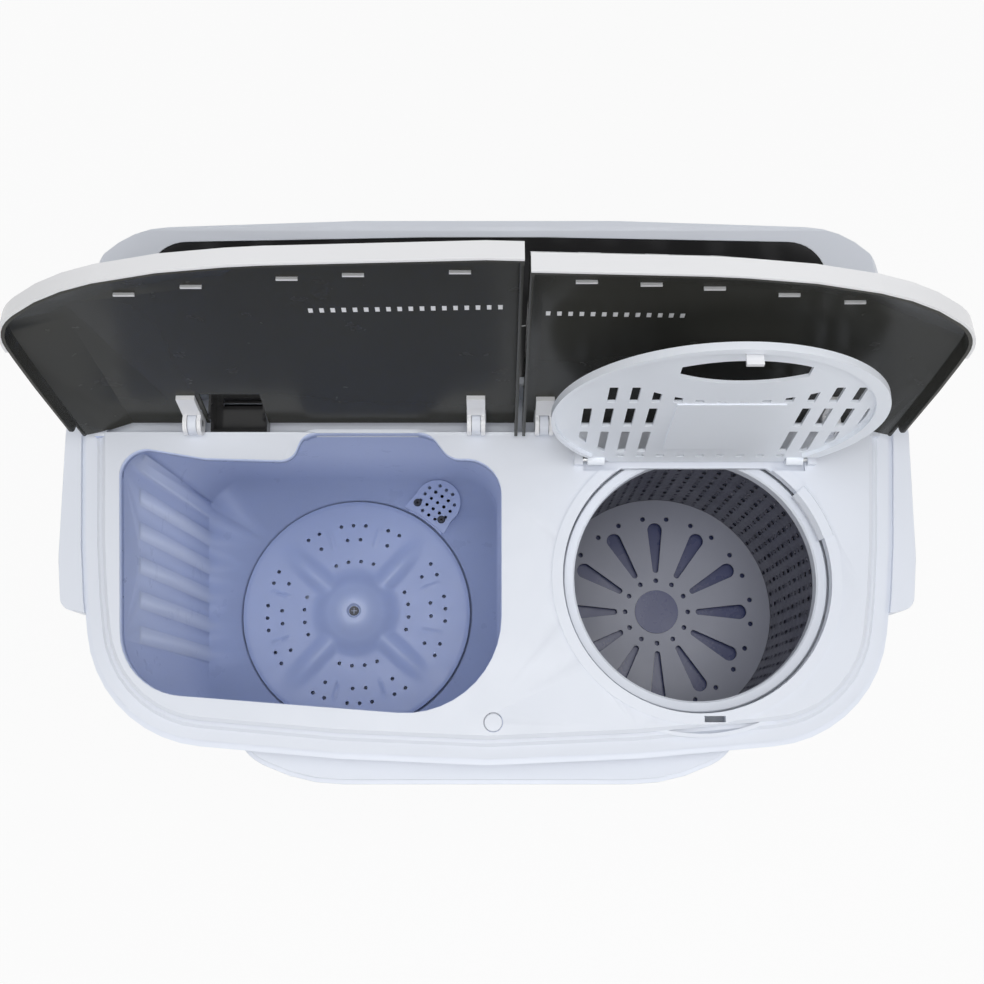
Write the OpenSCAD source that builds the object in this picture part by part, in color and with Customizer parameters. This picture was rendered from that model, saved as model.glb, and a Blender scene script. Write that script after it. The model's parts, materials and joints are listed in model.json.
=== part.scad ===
// Twin tub washing machine. A wash tub with a pulsator stands on the left and a spin basket on the right,
// under one top frame with two hinged lids, an inner safety cover and a control console at the back.
// Millimetres, Z up. The origin is on the floor under the middle of the machine, X to the right and Y to
// the back. The lids and the inner cover are drawn open.

/* [Body] */
// Height of the work top above the floor
deck_h = 775; // [740:5:830]
// Width over the skirt of the top frame
body_w = 685; // [680:1:730]
// Distance from the middle line to the front of the skirt
body_front = 206.5; // [205:0.5:225]
// Distance from the middle line to the back of the skirt
body_back = 222; // [215:1:240]
// Wall of the moulded cabinet and top frame
wall = 3; // [2.5:0.1:3.5]
// Width of the ledge that carries the lids
ledge_w = 9.5; // [8:0.5:12]
// Step from the ledge out to the skirt
skirt_step = 5; // [4:0.5:7]
// Depth of the ledge below the work top
ledge_drop = 9; // [8:0.5:10]
// Depth of the skirt below the work top
skirt_drop = 45; // [40:1:60]
// How far the front panel bulges past the skirt
front_bulge = 15.5; // [8:0.5:20]
// Height of the feet
foot_h = 18; // [12:1:25]
// Height of the base tray
base_h = 52; // [40:1:60]
// How far each side grip stands out past the skirt
grip_out = 13.5; // [8:0.5:14]
// Height of the side grips
grip_h = 52; // [40:1:70]

/* [Wash tub] */
// Distance from the skirt's left side to the wash opening
wash_margin = 35.5; // [33:0.5:45]
// Distance from the skirt's front to the wash opening
wash_front_margin = 34.5; // [33:0.5:42]
// Depth of the wash tub's floor below the work top
wash_depth = 300; // [260:5:320]
// Wall of the wash tub
tub_wall = 3; // [2.5:0.1:3.5]
// Radius of the pulsator
pulsator_r = 117; // [100:1:119]
// Running gap round the pulsator
pulsator_gap = 2.5; // [2:0.5:3]
// Distance from the wash opening's left side to the pulsator's axis
pulsator_inset = 171; // [165:1:178]
// Height of the vanes over the pulsator's disc
vane_h = 12; // [8:1:16]
// Height of the pulsator's hub over its disc
hub_h = 30; // [24:1:36]

/* [Spin tub] */
// Inner radius of the basket's rim
basket_mouth_r = 100; // [94:1:102]
// Outer radius of the basket
basket_r = 118; // [114:1:119]
// Wall of the basket
basket_wall = 2; // [1.5:0.1:2.5]
// Inner radius of the outer spin tub
spin_tub_r = 126; // [124:1:129]
// Depth of the basket's floor below the work top
spin_depth = 283; // [250:1:300]
// Depth of the basket's rim below the work top
rim_drop = 11; // [10.5:0.5:14]
// Space between the outer spin tub and the skirt's right side
spin_side_gap = 41.5; // [38:0.5:46]
// Rows of slots in the basket's wall
wall_rows = 8; // [6:1:10]
// Slots round the basket's wall
wall_columns = 24; // [18:1:28]
// Slots in the basket's floor
floor_slots = 12; // [8:1:12]

/* [Lids] */
// Width over both lids
lids_w = 694; // [688:1:700]
// Height of the lids over the work top
lid_h = 19; // [18:0.5:24]
// Wall of the lids
lid_wall = 2.5; // [2:0.1:3]
// Inset of the lids' flat top from their front edge
lid_slope = 24; // [20:1:26]
// How much further the flat top stands in from the lids' sides
lid_side_slope = 15; // [8:1:20]
// Gap between the two lids
lid_split = 4; // [3:0.5:6]
// How far the wash lid stands open
wash_lid_open = 102.6; // [92:0.1:104]
// How far the spin lid stands open
spin_lid_open = 100.9; // [92:0.1:104]
// How far the inner cover stands open
cover_open = 98; // [90:0.5:99]
// Radius of the inner cover
cover_r = 127; // [125:0.5:129]
// Radius of the lids' hinge pins
lid_pin_r = 3; // [2.5:0.1:4]
// Radius of the inner cover's hinge pins
cover_pin_r = 2.5; // [2:0.1:3]
// Radial clearance of every pin in its bore
pin_fit = 0.08; // [0.05:0.01:0.1]
// Width of a hinge arm
arm_w = 15; // [13:1:18]

/* [Console] */
// Height of the console over the work top
console_h = 80; // [70:1:95]
// Depth of the console, front to back
console_d = 124; // [115:1:126]
// Distance between neighbouring knobs
knob_pitch = 117; // [100:1:125]
// Radius of a knob
knob_r = 27; // [22:1:30]
// Height of a knob
knob_h = 20; // [16:1:24]

/* [Drive] */
// Radius of the pulsator's shaft
wash_shaft_r = 8; // [7:0.5:9]
// Radius of the basket's shaft
spin_shaft_r = 8; // [7:0.5:9]
// Radius of the big pulley where the belt runs
big_pulley_r = 72; // [60:1:78]
// Radius of the motor pulley where the belt runs
small_pulley_r = 21; // [18:1:26]
// Radius of the motors
motor_r = 58; // [50:1:62]
// Height of the motors
motor_h = 112; // [100:1:120]
// Radius of the brake drum
drum_r = 50; // [42:1:54]
// Inner radius of the drain pipe
drain_bore_r = 12; // [10:0.5:14]
// Outer radius of the drain spigot
spigot_r = 15; // [13.5:0.5:17]
// Outer radius of the water inlet
inlet_r = 10.5; // [9:0.5:12]

/* [Hidden] */
$fn = 96;
eps = 0.01;
seat = 0.3;                 // gap between pieces of different bodies that rest close together
white = "WhiteSmoke";
blue = [0.54, 0.60, 0.74];
smoke = [0.16, 0.16, 0.17];

// Places on the plan, seen from above
half_w = body_w / 2;
spin_x = half_w - spin_side_gap - spin_tub_r - wall;
spin_y = -56;
tub_gap = 31;               // from the outer spin tub to the wash opening
wash_left = -half_w + wash_margin;
wash_right = spin_x - spin_tub_r - wall - tub_gap;
wash_front = -body_front + wash_front_margin;
deck_back = 66;             // where the work top steps down to the hinge channel
channel_drop = 16;
pulsator_x = wash_left + pulsator_inset;
pulsator_y = spin_y;
lid_half_w = lids_w / 2;
lid_front = body_front - 2;
split_x = wash_right + 15;
hinge_y = deck_back + 5;
hinge_h = 10;
cover_hinge_y = spin_y + 98;
cover_hinge_h = 4;
console_front = body_back - console_d;

// Outlines are lists of corners [x, y, radius], in counter-clockwise order.
function unit(v) = v / norm(v);
function xy(p) = [p.x, p.y];
function around(list, i) = list[(i + len(list)) % len(list)];

// Arc that rounds the corner b between its neighbours a and c
function corner_arc(a, b, c, r) =
    let (
        u = unit(a - b),
        v = unit(c - b),
        half = acos(max(-1, min(1, u * v))) / 2,
        start = b + u * r / tan(half),
        end = b + v * r / tan(half),
        centre = b + unit(u + v) * r / sin(half),
        from = atan2(start.y - centre.y, start.x - centre.x),
        to = atan2(end.y - centre.y, end.x - centre.x),
        sweep = (to - from + 540) % 360 - 180,
        steps = max(1, ceil(abs(sweep) / 9))
    )
    [for (i = [0 : steps]) centre + r * [cos(from + sweep * i / steps), sin(from + sweep * i / steps)]];

// Points of an outline with its corners rounded
function rounded(list) = [
    for (i = [0 : len(list) - 1])
        each corner_arc(xy(around(list, i - 1)), xy(list[i]), xy(around(list, i + 1)), list[i].z)
];

// The same outline moved outwards by d, or inwards where d is negative
function grow(list, d) = [
    for (i = [0 : len(list) - 1])
        let (
            u = unit(xy(list[i]) - xy(around(list, i - 1))),
            v = unit(xy(around(list, i + 1)) - xy(list[i])),
            n1 = [u.y, -u.x],
            n2 = [v.y, -v.x],
            convex = cross(u, v) > 0,
            p = xy(list[i]) + (n1 + n2) * d / (1 + n1 * n2)
        )
        [p.x, p.y, max(list[i].z + (convex ? d : -d), 0.4)]
];

// Skirt of the top frame; everything outside follows it
skirt_outline = let (w = half_w, f = body_front)
    concat(
        [[-w, body_back - 8, 40], [-w, deck_back, 300], [-w + 6, -50, 500], [-w + 25, 22 - f, 106.5]],
        [[0, -f - 6, 1400]],
        [[w - 25, 22 - f, 106.5], [w - 6, -50, 500], [w, deck_back, 300], [w, body_back - 8, 40]],
        [[0, body_back + 1, 3000]]
    );
groove_in = ledge_w + skirt_step;

// Opening of the wash tub, with the trough towards the hinge side
wash_outline = [
    [wash_left + 11, wash_front + 23.5, 55],
    [wash_right, wash_front, 78],
    [wash_right, deck_back - 21, 30],
    [wash_right - 43, deck_back - 23, 18],
    [wash_right - 60, deck_back, 20],
    [wash_left + 153, deck_back, 14],
    [wash_left + 144, deck_back - 24, 14],
    [wash_left + 71, deck_back - 22, 40],
    [wash_left, deck_back - 10, 22]
];

// Narrow part of that opening, where the tub reaches back to the hinge channel
trough_mouth = [
    [wash_right - 62, deck_back - 30, 4],
    [wash_right - 62, deck_back - 1, 20],
    [wash_left + 155, deck_back - 1, 14],
    [wash_left + 145, deck_back - 30, 4]
];

// Inside of the wash tub at its top and at its floor
tub_top = [
    [wash_left + 11, wash_front + 1, 72],
    [wash_right + 2, wash_front - 10, 80],
    [wash_right + 2, deck_back + 21, 45],
    [wash_left - 2, deck_back + 21, 45]
];
tub_floor = [
    [wash_left + 22, wash_front + 1, 66],
    [wash_right - 4, wash_front - 9, 76],
    [wash_right - 4, deck_back + 20, 42],
    [wash_left + 12, deck_back + 20, 42]
];

// Outline of the two closed lids, from its right back corner round the front to the left one
lid_side_points = let (w = lid_half_w, f = lid_front)
    [[w - 49, 40.4 - f, 170], [w, 90 - f, 62], [w - 1, 155 - f, 900], [w - 9.5, hinge_y + 12, 5]];
lid_front_corner = [lid_half_w - 131, 12 - lid_front, 380];
lid_outline = concat(
    [for (i = [3 : -1 : 0]) let (p = lid_side_points[i]) [-p.x, p.y, p.z]],
    [[-lid_front_corner.x, lid_front_corner.y, lid_front_corner.z]],
    [[0, -lid_front - 7, 1650]],
    [lid_front_corner],
    lid_side_points
);

module slab(list, z0, z1) {
    translate([0, 0, z0]) linear_extrude(z1 - z0) polygon(rounded(list));
}

module ring(list, inner, z0, z1) {
    translate([0, 0, z0]) linear_extrude(z1 - z0) difference() {
        polygon(rounded(list));
        polygon(rounded(inner));
    }
}

module box(low, high) {
    translate(low) cube(high - low);
}

// Round part with its axis on Z, between two heights
module disc(r, z0, z1) {
    translate([0, 0, z0]) cylinder(r = r, h = z1 - z0);
}

module tube(r, inner, z0, z1) {
    translate([0, 0, z0]) linear_extrude(z1 - z0) difference() {
        circle(r);
        circle(inner);
    }
}

module on_deck() {
    translate([0, 0, deck_h]) children();
}

module at_basket() {
    translate([spin_x, spin_y, deck_h]) children();
}

module at_pulsator() {
    translate([pulsator_x, pulsator_y, deck_h]) children();
}

// Cabinet

// Bulge in the middle of the front panel
bulge_half_w = 240;
bulge_outline = [
    [-bulge_half_w + 85, -body_front - front_bulge - 1, 150],
    [bulge_half_w - 85, -body_front - front_bulge - 1, 150],
    [bulge_half_w, 25 - body_front, 40],
    [bulge_half_w - 20, 45 - body_front, 2],
    [20 - bulge_half_w, 45 - body_front, 2],
    [-bulge_half_w, 25 - body_front, 40]
];
bulge_low = 110;
bulge_top = deck_h - skirt_drop - 4;
cabinet_outline = grow(skirt_outline, -wall - seat);
back_open_w = half_w - 55;
back_open_z = [140, deck_h - 90];
back_recess = 17;           // the back panel lies this far inside the skirt's back

// Side grips: pods that stand out from the cabinet, with a finger recess under them
grip_top = -ledge_drop - 3.5;  // below the work top
grip_front = -78;
grip_back = 112;

module grip_pod(side) {
    reach = half_w + grip_out;
    mirror([side < 0 ? 1 : 0, 0, 0]) difference() {
        translate([0, 0, grip_top - grip_h]) linear_extrude(grip_h) polygon(rounded([
            [half_w - 20, grip_front - 8, 2],
            [reach - 4, grip_front - 2, 12],
            [reach, grip_front + 40, 60],
            [reach, grip_back - 40, 60],
            [reach - 6, grip_back, 12],
            [half_w - 20, grip_back + 6, 2]
        ]));
        slab(skirt_outline, -skirt_drop, grip_top + 1);
        slab(grow(skirt_outline, -wall), grip_top - grip_h - 1, -skirt_drop + 1);
    }
}

// Finger room under a pod, through the skirt and the cabinet's side
module grip_room(side, low, top, wider = 0) {
    mirror([side < 0 ? 1 : 0, 0, 0]) box(
        [half_w - 34, grip_front + 16 - wider, low],
        [half_w + grip_out - 4, grip_back - 22 + wider, top]
    );
}

module cabinet_shell() {
    top = deck_h - ledge_drop - 10 - seat;
    inner = grow(cabinet_outline, -wall);
    color(white) difference() {
        union() {
            slab(cabinet_outline, foot_h + base_h - 20, top);
            slab(bulge_outline, bulge_low + 6, bulge_top - 6);
            slab(grow(bulge_outline, -4), bulge_low, bulge_top);
        }
        slab(inner, foot_h + base_h - 21, top + 1);
        slab(grow(bulge_outline, -wall - 4), bulge_low + wall, bulge_top - wall);
        // Opening that the back panel closes
        box([-back_open_w, body_back - 40, back_open_z[0]], [back_open_w, body_back + 1, back_open_z[1]]);
        // Openings behind the side grips
        on_deck() for (side = [-1, 1]) grip_room(side, grip_top - grip_h - 1, grip_top - 16, 10);
    }
}

module base_tray() {
    outline = grow(cabinet_outline, -wall - seat);
    color(white) difference() {
        union() {
            slab(grow(cabinet_outline, -1), foot_h, foot_h + base_h - 20 - seat);
            slab(outline, foot_h, foot_h + base_h);
        }
        slab(grow(outline, -wall), foot_h + 5, foot_h + base_h + 1);
        for (x = [-1, 1], y = [-130, 150]) translate([x * (half_w - 70), y, 0])
            disc(6, foot_h - 1, foot_h + 6);
    }
    // Ribs across the tray and the posts that carry the spin motor's mounts
    color(white) for (x = [-250, -190, -70, 60])
        box([x, -150, foot_h + 5], [x + wall, 190, foot_h + 24]);
    color(white) spin_mount_places() disc(19, foot_h + 5, foot_h + 30);
}

module rubber_feet() {
    color("DimGray") for (x = [-1, 1], y = [-130, 150]) translate([x * (half_w - 70), y, 0]) {
        rotate_extrude() polygon([
            [0, 0], [20, 0], [22, 2], [22, 6], [18, foot_h], [6, foot_h], [6, foot_h + 5], [0, foot_h + 5]
        ]);
    }
}

back_y = body_back - back_recess;
back_screws = [
    for (x = [12 - back_open_w, 0, back_open_w - 12], z = [back_open_z[0] + 12, back_open_z[1] - 12]) [x, z]
];

module back_panel() {
    color(white) difference() {
        union() {
            box(
                [-back_open_w - 14, back_y - 2, back_open_z[0] - 14],
                [back_open_w + 14, back_y, back_open_z[1] + 14]
            );
            // Rim that reaches the cabinet's inner side round the opening
            difference() {
                box(
                    [-back_open_w + seat, back_y, back_open_z[0] + seat],
                    [back_open_w - seat, body_back - wall - 4, back_open_z[1] - seat]
                );
                box(
                    [-back_open_w + 3, back_y - 1, back_open_z[0] + 3],
                    [back_open_w - 3, body_back, back_open_z[1] - 3]
                );
            }
        }
        // Air slots in front of the motors
        for (side = [-1, 1], row = [0 : 7]) translate([side * 150, 0, 200 + row * 16])
            box([-55, back_y - 3, 0], [55, back_y + 1, 6]);
        place_spigot() cylinder(r = spigot_r + 2, h = 30, center = true);
        place_inlet() cylinder(r = inlet_r + 1.5, h = 30, center = true);
        place_gland() cylinder(r = 9, h = 30, center = true);
        for (p = back_screws) translate([p[0], back_y, p[1]]) rotate([90, 0, 0])
            cylinder(r = 2.2, h = 10, center = true);
    }
}

// Top frame

mouth_gap = 1;
rim_r = basket_r - 9;       // outer radius of the basket's rim where it stands in the mouth
mouth_r = rim_r + mouth_gap;
lip_r = mouth_r + 9;
lip_h = 1.4;
mouth_back = cover_hinge_y - 6;
tongue_w = 7;
arm_r = 10;
wash_arm_x = [wash_left + 64, wash_right - 21];
spin_arm_x = [split_x + 20, lid_half_w - 64];
cover_ear_x = 94;
cover_ear_w = 7;
latch_y = spin_y - mouth_r - 4.5;
latch_w = 12;
latch_x = 11;               // right of the basket's axis
cover_shift = 4;            // the cover's round plate stands right of the basket's axis
plug_x = split_x - 22;
plug_y = 33.5 - body_front;
notch_x = [wash_left + 75, wash_left + 124];
chute_y = [deck_back + 0.4, console_front - seat - 0.4];
chute_h = 12;

module mouth_shape(r, back) {
    intersection() {
        translate([spin_x, spin_y]) circle(r);
        translate([spin_x - r - 1, spin_y - r - 1]) square([2 * r + 2, back - spin_y + r + 1]);
    }
}

module top_frame() {
    groove = grow(skirt_outline, -groove_in);
    ledge = grow(skirt_outline, -skirt_step);
    color(white) on_deck() difference() {
        union() {
            // Work top with its sloped edge down to the ledge
            difference() {
                union() {
                    hull() {
                        slab(grow(groove, -9), -0.2, 0);
                        slab(groove, 0.1 - ledge_drop, 0.3 - ledge_drop);
                    }
                    slab(groove, -ledge_drop - wall, 0.2 - ledge_drop);
                }
                slab(grow(groove, -wall - 5), -ledge_drop - wall - 1, -wall - 3);
                box([-half_w, -body_front - 9, -wall - 3.1], [half_w, deck_back, -wall]);
                box([-half_w, deck_back, -wall - 4], [half_w, body_back + 9, 1]);
            }
            intersection() {
                slab(grow(groove, -9.5), -wall - 3.2, 0);
                box([-half_w, -body_front, -6], [half_w, deck_back, 0]);
            }
            ring(ledge, grow(groove, -wall), -ledge_drop - wall, -ledge_drop);
            // Skirt, with a small step under the ledge
            ring(ledge, grow(ledge, -wall), -ledge_drop - 10, -ledge_drop - 0.1);
            ring(skirt_outline, grow(ledge, -wall), -ledge_drop - 10, -ledge_drop - 7);
            ring(skirt_outline, grow(skirt_outline, -wall), -skirt_drop, -ledge_drop - 7.1);
            // Hinge channel and the floor under the console
            intersection() {
                slab(grow(skirt_outline, -1), -channel_drop - wall, -channel_drop);
                box([-half_w, deck_back - wall, -40], [half_w, body_back + 9, 0]);
            }
            box([-half_w + groove_in, deck_back - wall, -channel_drop - 1], [half_w - groove_in, deck_back, -1]);
            // Collar round the wash opening and the raised lip and collar round the spin mouth
            ring(grow(wash_outline, wall), wash_outline, -12, -wall + 0.1);
            translate([0, 0, -9]) linear_extrude(9) mouth_shape(mouth_r + 2.5, mouth_back + 2.5);
            linear_extrude(lip_h) mouth_shape(lip_r, mouth_back - 2);
            // Wall under the work top that stands on the outer spin tub
            intersection() {
                translate([spin_x, spin_y, 0])
                    tube(spin_tub_r + wall, spin_tub_r, -channel_drop - wall, -wall + 0.1);
                box([-half_w, -body_front, -40], [half_w, deck_back - 1, 0]);
            }
            box(
                [spin_x - cover_ear_x - 12, mouth_back - 2, -8],
                [spin_x + cover_ear_x + 12, cover_hinge_y + 10, -wall + 0.1]
            );
            // Pocket under the latch slot
            box(
                [spin_x + latch_x - latch_w / 2 - 4.5, latch_y - 3.4, -ledge_drop],
                [spin_x + latch_x + latch_w / 2 + 4.5, latch_y + 4.5, lip_h]
            );
        }
        slab(wash_outline, -40, 5);
        // Room for the console behind the hinge channel
        box([-half_w, console_front - seat, -channel_drop], [half_w, body_back + 9, 5]);
        for (side = [-1, 1]) grip_room(side, grip_top - grip_h - 1, grip_top - 14, 8);
        translate([0, 0, -40]) linear_extrude(50) mouth_shape(mouth_r, mouth_back);
        box(
            [spin_x + latch_x - latch_w / 2 - 2.5, latch_y - 2.5, -ledge_drop - 1],
            [spin_x + latch_x + latch_w / 2 + 2.5, latch_y + 2.5, 5]
        );
        // Trough that the inner cover's back edge turns in
        box(
            [spin_x - cover_ear_x + 2, mouth_back - 3, -4.2],
            [spin_x + cover_ear_x - 2, cover_hinge_y + 8, 5]
        );
        translate([plug_x, plug_y, 0]) disc(7.9, -wall - 1, 1);
        chute_drain();
        // The work top slopes down into the mouth of the trough at the tub's back
        hull() {
            slab(grow(trough_mouth, 9), 0, 0.5);
            slab(trough_mouth, -2.6, -2.5);
        }
    }
    // Tongues that carry the lids' pins
    color(white) on_deck() for (x = concat(wash_arm_x, spin_arm_x)) difference() {
        union() {
            translate([x, hinge_y, hinge_h]) rotate([0, 90, 0])
                cylinder(r = arm_r - 0.6, h = tongue_w, center = true);
            box([x - tongue_w / 2, hinge_y - 4, -channel_drop - 1], [x + tongue_w / 2, hinge_y + 6, hinge_h]);
        }
        translate([x, hinge_y, hinge_h]) rotate([0, 90, 0])
            cylinder(r = lid_pin_r + pin_fit, h = tongue_w + 1, center = true);
    }
    // Ears that carry the inner cover's pins
    color(white) on_deck() for (side = [-1, 1]) difference() {
        translate([spin_x + side * (cover_ear_x + cover_ear_w / 2 - 1), 0, 0]) box(
            [-cover_ear_w / 2, cover_hinge_y - 5, -1],
            [cover_ear_w / 2, cover_hinge_y + 5, cover_hinge_h + 4]
        );
        translate([spin_x + side * cover_ear_x, cover_hinge_y, cover_hinge_h]) rotate([0, 90, 0])
            cylinder(r = cover_pin_r + pin_fit, h = 30, center = true);
    }
}

module side_grips() {
    color(white) on_deck() for (side = [-1, 1]) difference() {
        grip_pod(side);
        grip_room(side, grip_top - grip_h - 1, grip_top - 14);
    }
}

module screw_plug() {
    color(white) on_deck() translate([plug_x, plug_y, 0]) rotate_extrude()
        polygon([[0, -wall], [7.5 - 0.2, -wall], [7.3, 0], [6.6, 0.5], [0, 0.9]]);
}

// Wash tub and pulsator

tub_top_z = -12.3;
grille_x = pulsator_x + 83;
grille_y = deck_back - 6;
recess_r = pulsator_r + pulsator_gap;
recess_depth = 12;
seal_r = 30;
rib_pitch = 30;
rib_w = 15;
rib_h = 2;
rib_top = 60;               // the ribs begin this far below the work top

module tub_body(d, z_low) {
    hull() {
        slab(grow(tub_top, d), tub_top_z - 0.2, tub_top_z);
        slab(grow(tub_floor, d), z_low, z_low + 0.2);
    }
}

module wash_tub() {
    color(blue) difference() {
        on_deck() union() {
            difference() {
                tub_body(tub_wall, -wash_depth - tub_wall);
                translate([0, 0, 0.5]) hull() {
                    slab(tub_top, tub_top_z, tub_top_z + 1);
                    slab(tub_floor, -wash_depth - 0.5, -wash_depth);
                }
                box([-half_w, deck_back - wall - 1, -channel_drop - wall - seat], [half_w, body_back, 0]);
            }
            // Broad, low washboard ribs on the left wall
            intersection() {
                for (i = [0 : 5]) translate([wash_left, deck_back - 14 - i * rib_pitch, 0])
                    box([-10, -rib_w / 2, -wash_depth - 0.8], [34, rib_w / 2, -rib_top]);
                difference() {
                    tub_body(1, -wash_depth - 1);
                    tub_body(-rib_h, -wash_depth - 2);
                }
            }
            translate([pulsator_x, pulsator_y, 0])
                disc(recess_r + tub_wall, -wash_depth - recess_depth - tub_wall, -wash_depth - 0.5);
            translate([grille_x, grille_y, 0]) disc(24, -wash_depth - 16, -wash_depth - 1);
        }
        at_pulsator() disc(recess_r, -wash_depth - recess_depth, -wash_depth + 1);
        at_pulsator() disc(seal_r - 6, -wash_depth - recess_depth - 9, -wash_depth);
        translate([grille_x, grille_y, deck_h]) disc(20, -wash_depth - 12, -wash_depth + 1);
        translate([grille_x, grille_y, deck_h]) disc(16, -wash_depth - 20, -wash_depth);
    }
}

// Holes over the drain, on a diamond grid, kept inside the grille's round end
module grille_holes(r) {
    pitch = 8;
    for (i = [-3 : 3], j = [-3 : 3])
        let (p = pitch / sqrt(2) * [i + j, i - j])
        if (norm(p) < 18.5) translate(p) circle(r, $fn = 24);
}

grille_screws = [[-21, 0], [4, -18]];

module lint_grille() {
    color(blue) difference() {
        translate([grille_x, grille_y, deck_h - wash_depth + 0.05]) linear_extrude(3) difference() {
            union() {
                circle(24);
                polygon([[-21.5, 10.5], [-34.5, -4.5], [-12, -17], [6.5, -33], [23.5, -4]]);
            }
            rotate(10) grille_holes(1.8);
            for (p = grille_screws) translate(p) circle(2);
        }
        // It ends beside the pulsator's running gap
        at_pulsator() disc(recess_r + 1.5, -wash_depth - 1, -wash_depth + 9);
    }
}

// Screws of the lint grille and of the back panel
module case_screws() {
    color("Silver") for (p = grille_screws)
        translate([grille_x + p.x, grille_y + p.y, deck_h - wash_depth + 3.05]) rotate_extrude()
            polygon([[0, -2.9], [2, -2.9], [2, 0], [4.4, 0], [4.2, 1.2], [2.5, 2], [0, 2]]);
    color("Silver") for (p = back_screws) translate([p[0], back_y, p[1]]) rotate([-90, 0, 0]) rotate_extrude()
        polygon([[0, -6], [2, -6], [2, 0.05], [4.2, 0.05], [3.8, 1.6], [2.2, 2.4], [0, 2.4]]);
}

disc_h = 6;                 // thickness of the pulsator's disc
pulsator_floor = -wash_depth - recess_depth + 6;
pulsator_turn = 3;          // the photographed pulsator stands turned a little
vane_reach = pulsator_r - 14;

// One ring of holes, as pairs of [radius, angle from the axis of its quarter]
hole_marks = [
    [92, -8], [92, 0], [92, 8], [77, -5], [77, 5], [54, -21], [54, -7], [54, 7], [54, 21],
    [92, -31], [92, -23], [77, -26.5], [92, 31], [92, 23], [77, 26.5]
];
hole_scale = pulsator_r / 117;

// Low ridge that is highest at the hub: a cone lying in the disc
module vane() {
    tilt = 2.2;
    difference() {
        translate([14, 0, disc_h - 24]) rotate([0, 90 + tilt, 0])
            cylinder(r1 = 24 + vane_h, r2 = 24 + vane_h * 0.25, h = vane_reach - 14);
        box([-200, -60, -90], [200, 60, disc_h - 2]);
        for (side = [-1, 1]) scale([1, side, 1]) rotate([0, 0, 7])
            box([-10, 25, 0], [200, 90, 90]);
    }
}

module pulsator() {
    color(blue) at_pulsator() translate([0, 0, pulsator_floor]) rotate([0, 0, pulsator_turn]) difference() {
        union() {
            rotate_extrude() polygon([
                [0, 0], [pulsator_r - 3, 0], [pulsator_r, 3], [pulsator_r, disc_h - 1],
                [pulsator_r - 1, disc_h], [0, disc_h]
            ]);
            for (a = [45 : 90 : 315]) rotate([0, 0, a]) intersection() {
                vane();
                disc(vane_reach, 0, 60);
            }
            // Hub with soft shoulders
            rotate_extrude() polygon(concat(
                [[0, disc_h - 1], [46, disc_h - 1]],
                [for (t = [0 : 8]) [46 - 34 * t / 8, disc_h + (hub_h - 4) * (1 - cos(180 * t / 8)) / 2]],
                [[11, disc_h + hub_h - 4], [11, disc_h + hub_h - 1], [10, disc_h + hub_h], [0, disc_h + hub_h]]
            ));
            for (q = [0 : 90 : 270], k = [-1, 0, 1]) rotate([0, 0, q + k * 20])
                translate([34, -1, disc_h - 0.5]) cube([vane_reach - 42, 2, 2]);
        }
        for (q = [0 : 90 : 270], m = hole_marks) rotate([0, 0, q + m[1]]) translate([m[0] * hole_scale, 0, -1])
            cylinder(r = 2, h = disc_h + 3, $fn = 24);
        disc(wash_shaft_r + eps, -1, disc_h + hub_h - 12);
        disc(7, disc_h + hub_h - 6, disc_h + hub_h + 1);
        disc(3.1, disc_h, disc_h + hub_h);
    }
}

module pulsator_screw() {
    color("DimGray") at_pulsator() translate([0, 0, pulsator_floor + disc_h + hub_h - 6]) rotate_extrude()
        polygon([[0, -16], [3, -16], [3, 0], [6.2, 0], [6.2, 2.6], [5, 3.6], [2.6, 3.6], [2.6, 2], [0, 2]]);
}

// Wash drive, hung under the tub

shaft_top = pulsator_floor + disc_h + hub_h - 12.2;
pulley_z = -wash_depth - 68;
pulley_h = 16;
motor_dx = -64;
motor_dy = 172;
frame_z = pulley_z - 16;
motor_shaft_r = 4;
post_places = [[-46, -46], [52, -40], [52, 46], [-52, 52]];

module pulsator_shaft() {
    color("Silver") at_pulsator() difference() {
        disc(wash_shaft_r, pulley_z - 6, shaft_top);
        disc(3.02, shaft_top - 14, shaft_top + 1);
    }
}

// Pulley with a V groove of the belt's width
module v_pulley(r, bore) {
    difference() {
        rotate_extrude() polygon([
            [0, 0], [r + 6, 0], [r + 6, 2], [r, 5.5], [r, pulley_h - 5.5], [r + 6, pulley_h - 2],
            [r + 6, pulley_h], [0, pulley_h]
        ]);
        disc(bore, -1, pulley_h + 1);
    }
}

module pulsator_pulley() {
    color("Gainsboro") at_pulsator() translate([0, 0, pulley_z]) difference() {
        v_pulley(big_pulley_r, wash_shaft_r + eps);
        for (a = [0 : 60 : 300]) rotate([0, 0, a]) translate([big_pulley_r * 0.58, 0, 0])
            disc(big_pulley_r * 0.2, -1, pulley_h + 1);
    }
}

module motor_pulley() {
    color("Gainsboro") at_pulsator() translate([motor_dx, motor_dy, pulley_z])
        v_pulley(small_pulley_r, motor_shaft_r);
    color("Silver") at_pulsator() translate([motor_dx, motor_dy, 0])
        disc(motor_shaft_r, frame_z - 18, pulley_z + pulley_h);
}

// Line of a belt round both pulleys at a distance d from where it runs
function belt_line(d) =
    let (
        span = norm([motor_dx, motor_dy]),
        dir = atan2(motor_dy, motor_dx),
        r1 = big_pulley_r + d,
        r2 = small_pulley_r + d,
        lean = acos((r1 - r2) / span),
        steps = 40
    )
    concat(
        [for (i = [0 : steps]) let (a = dir + lean + (360 - 2 * lean) * i / steps) r1 * [cos(a), sin(a)]],
        [
            for (i = [0 : steps / 2]) let (a = dir - lean + 2 * lean * i * 2 / steps)
                [motor_dx, motor_dy] + r2 * [cos(a), sin(a)]
        ]
    );

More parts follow.
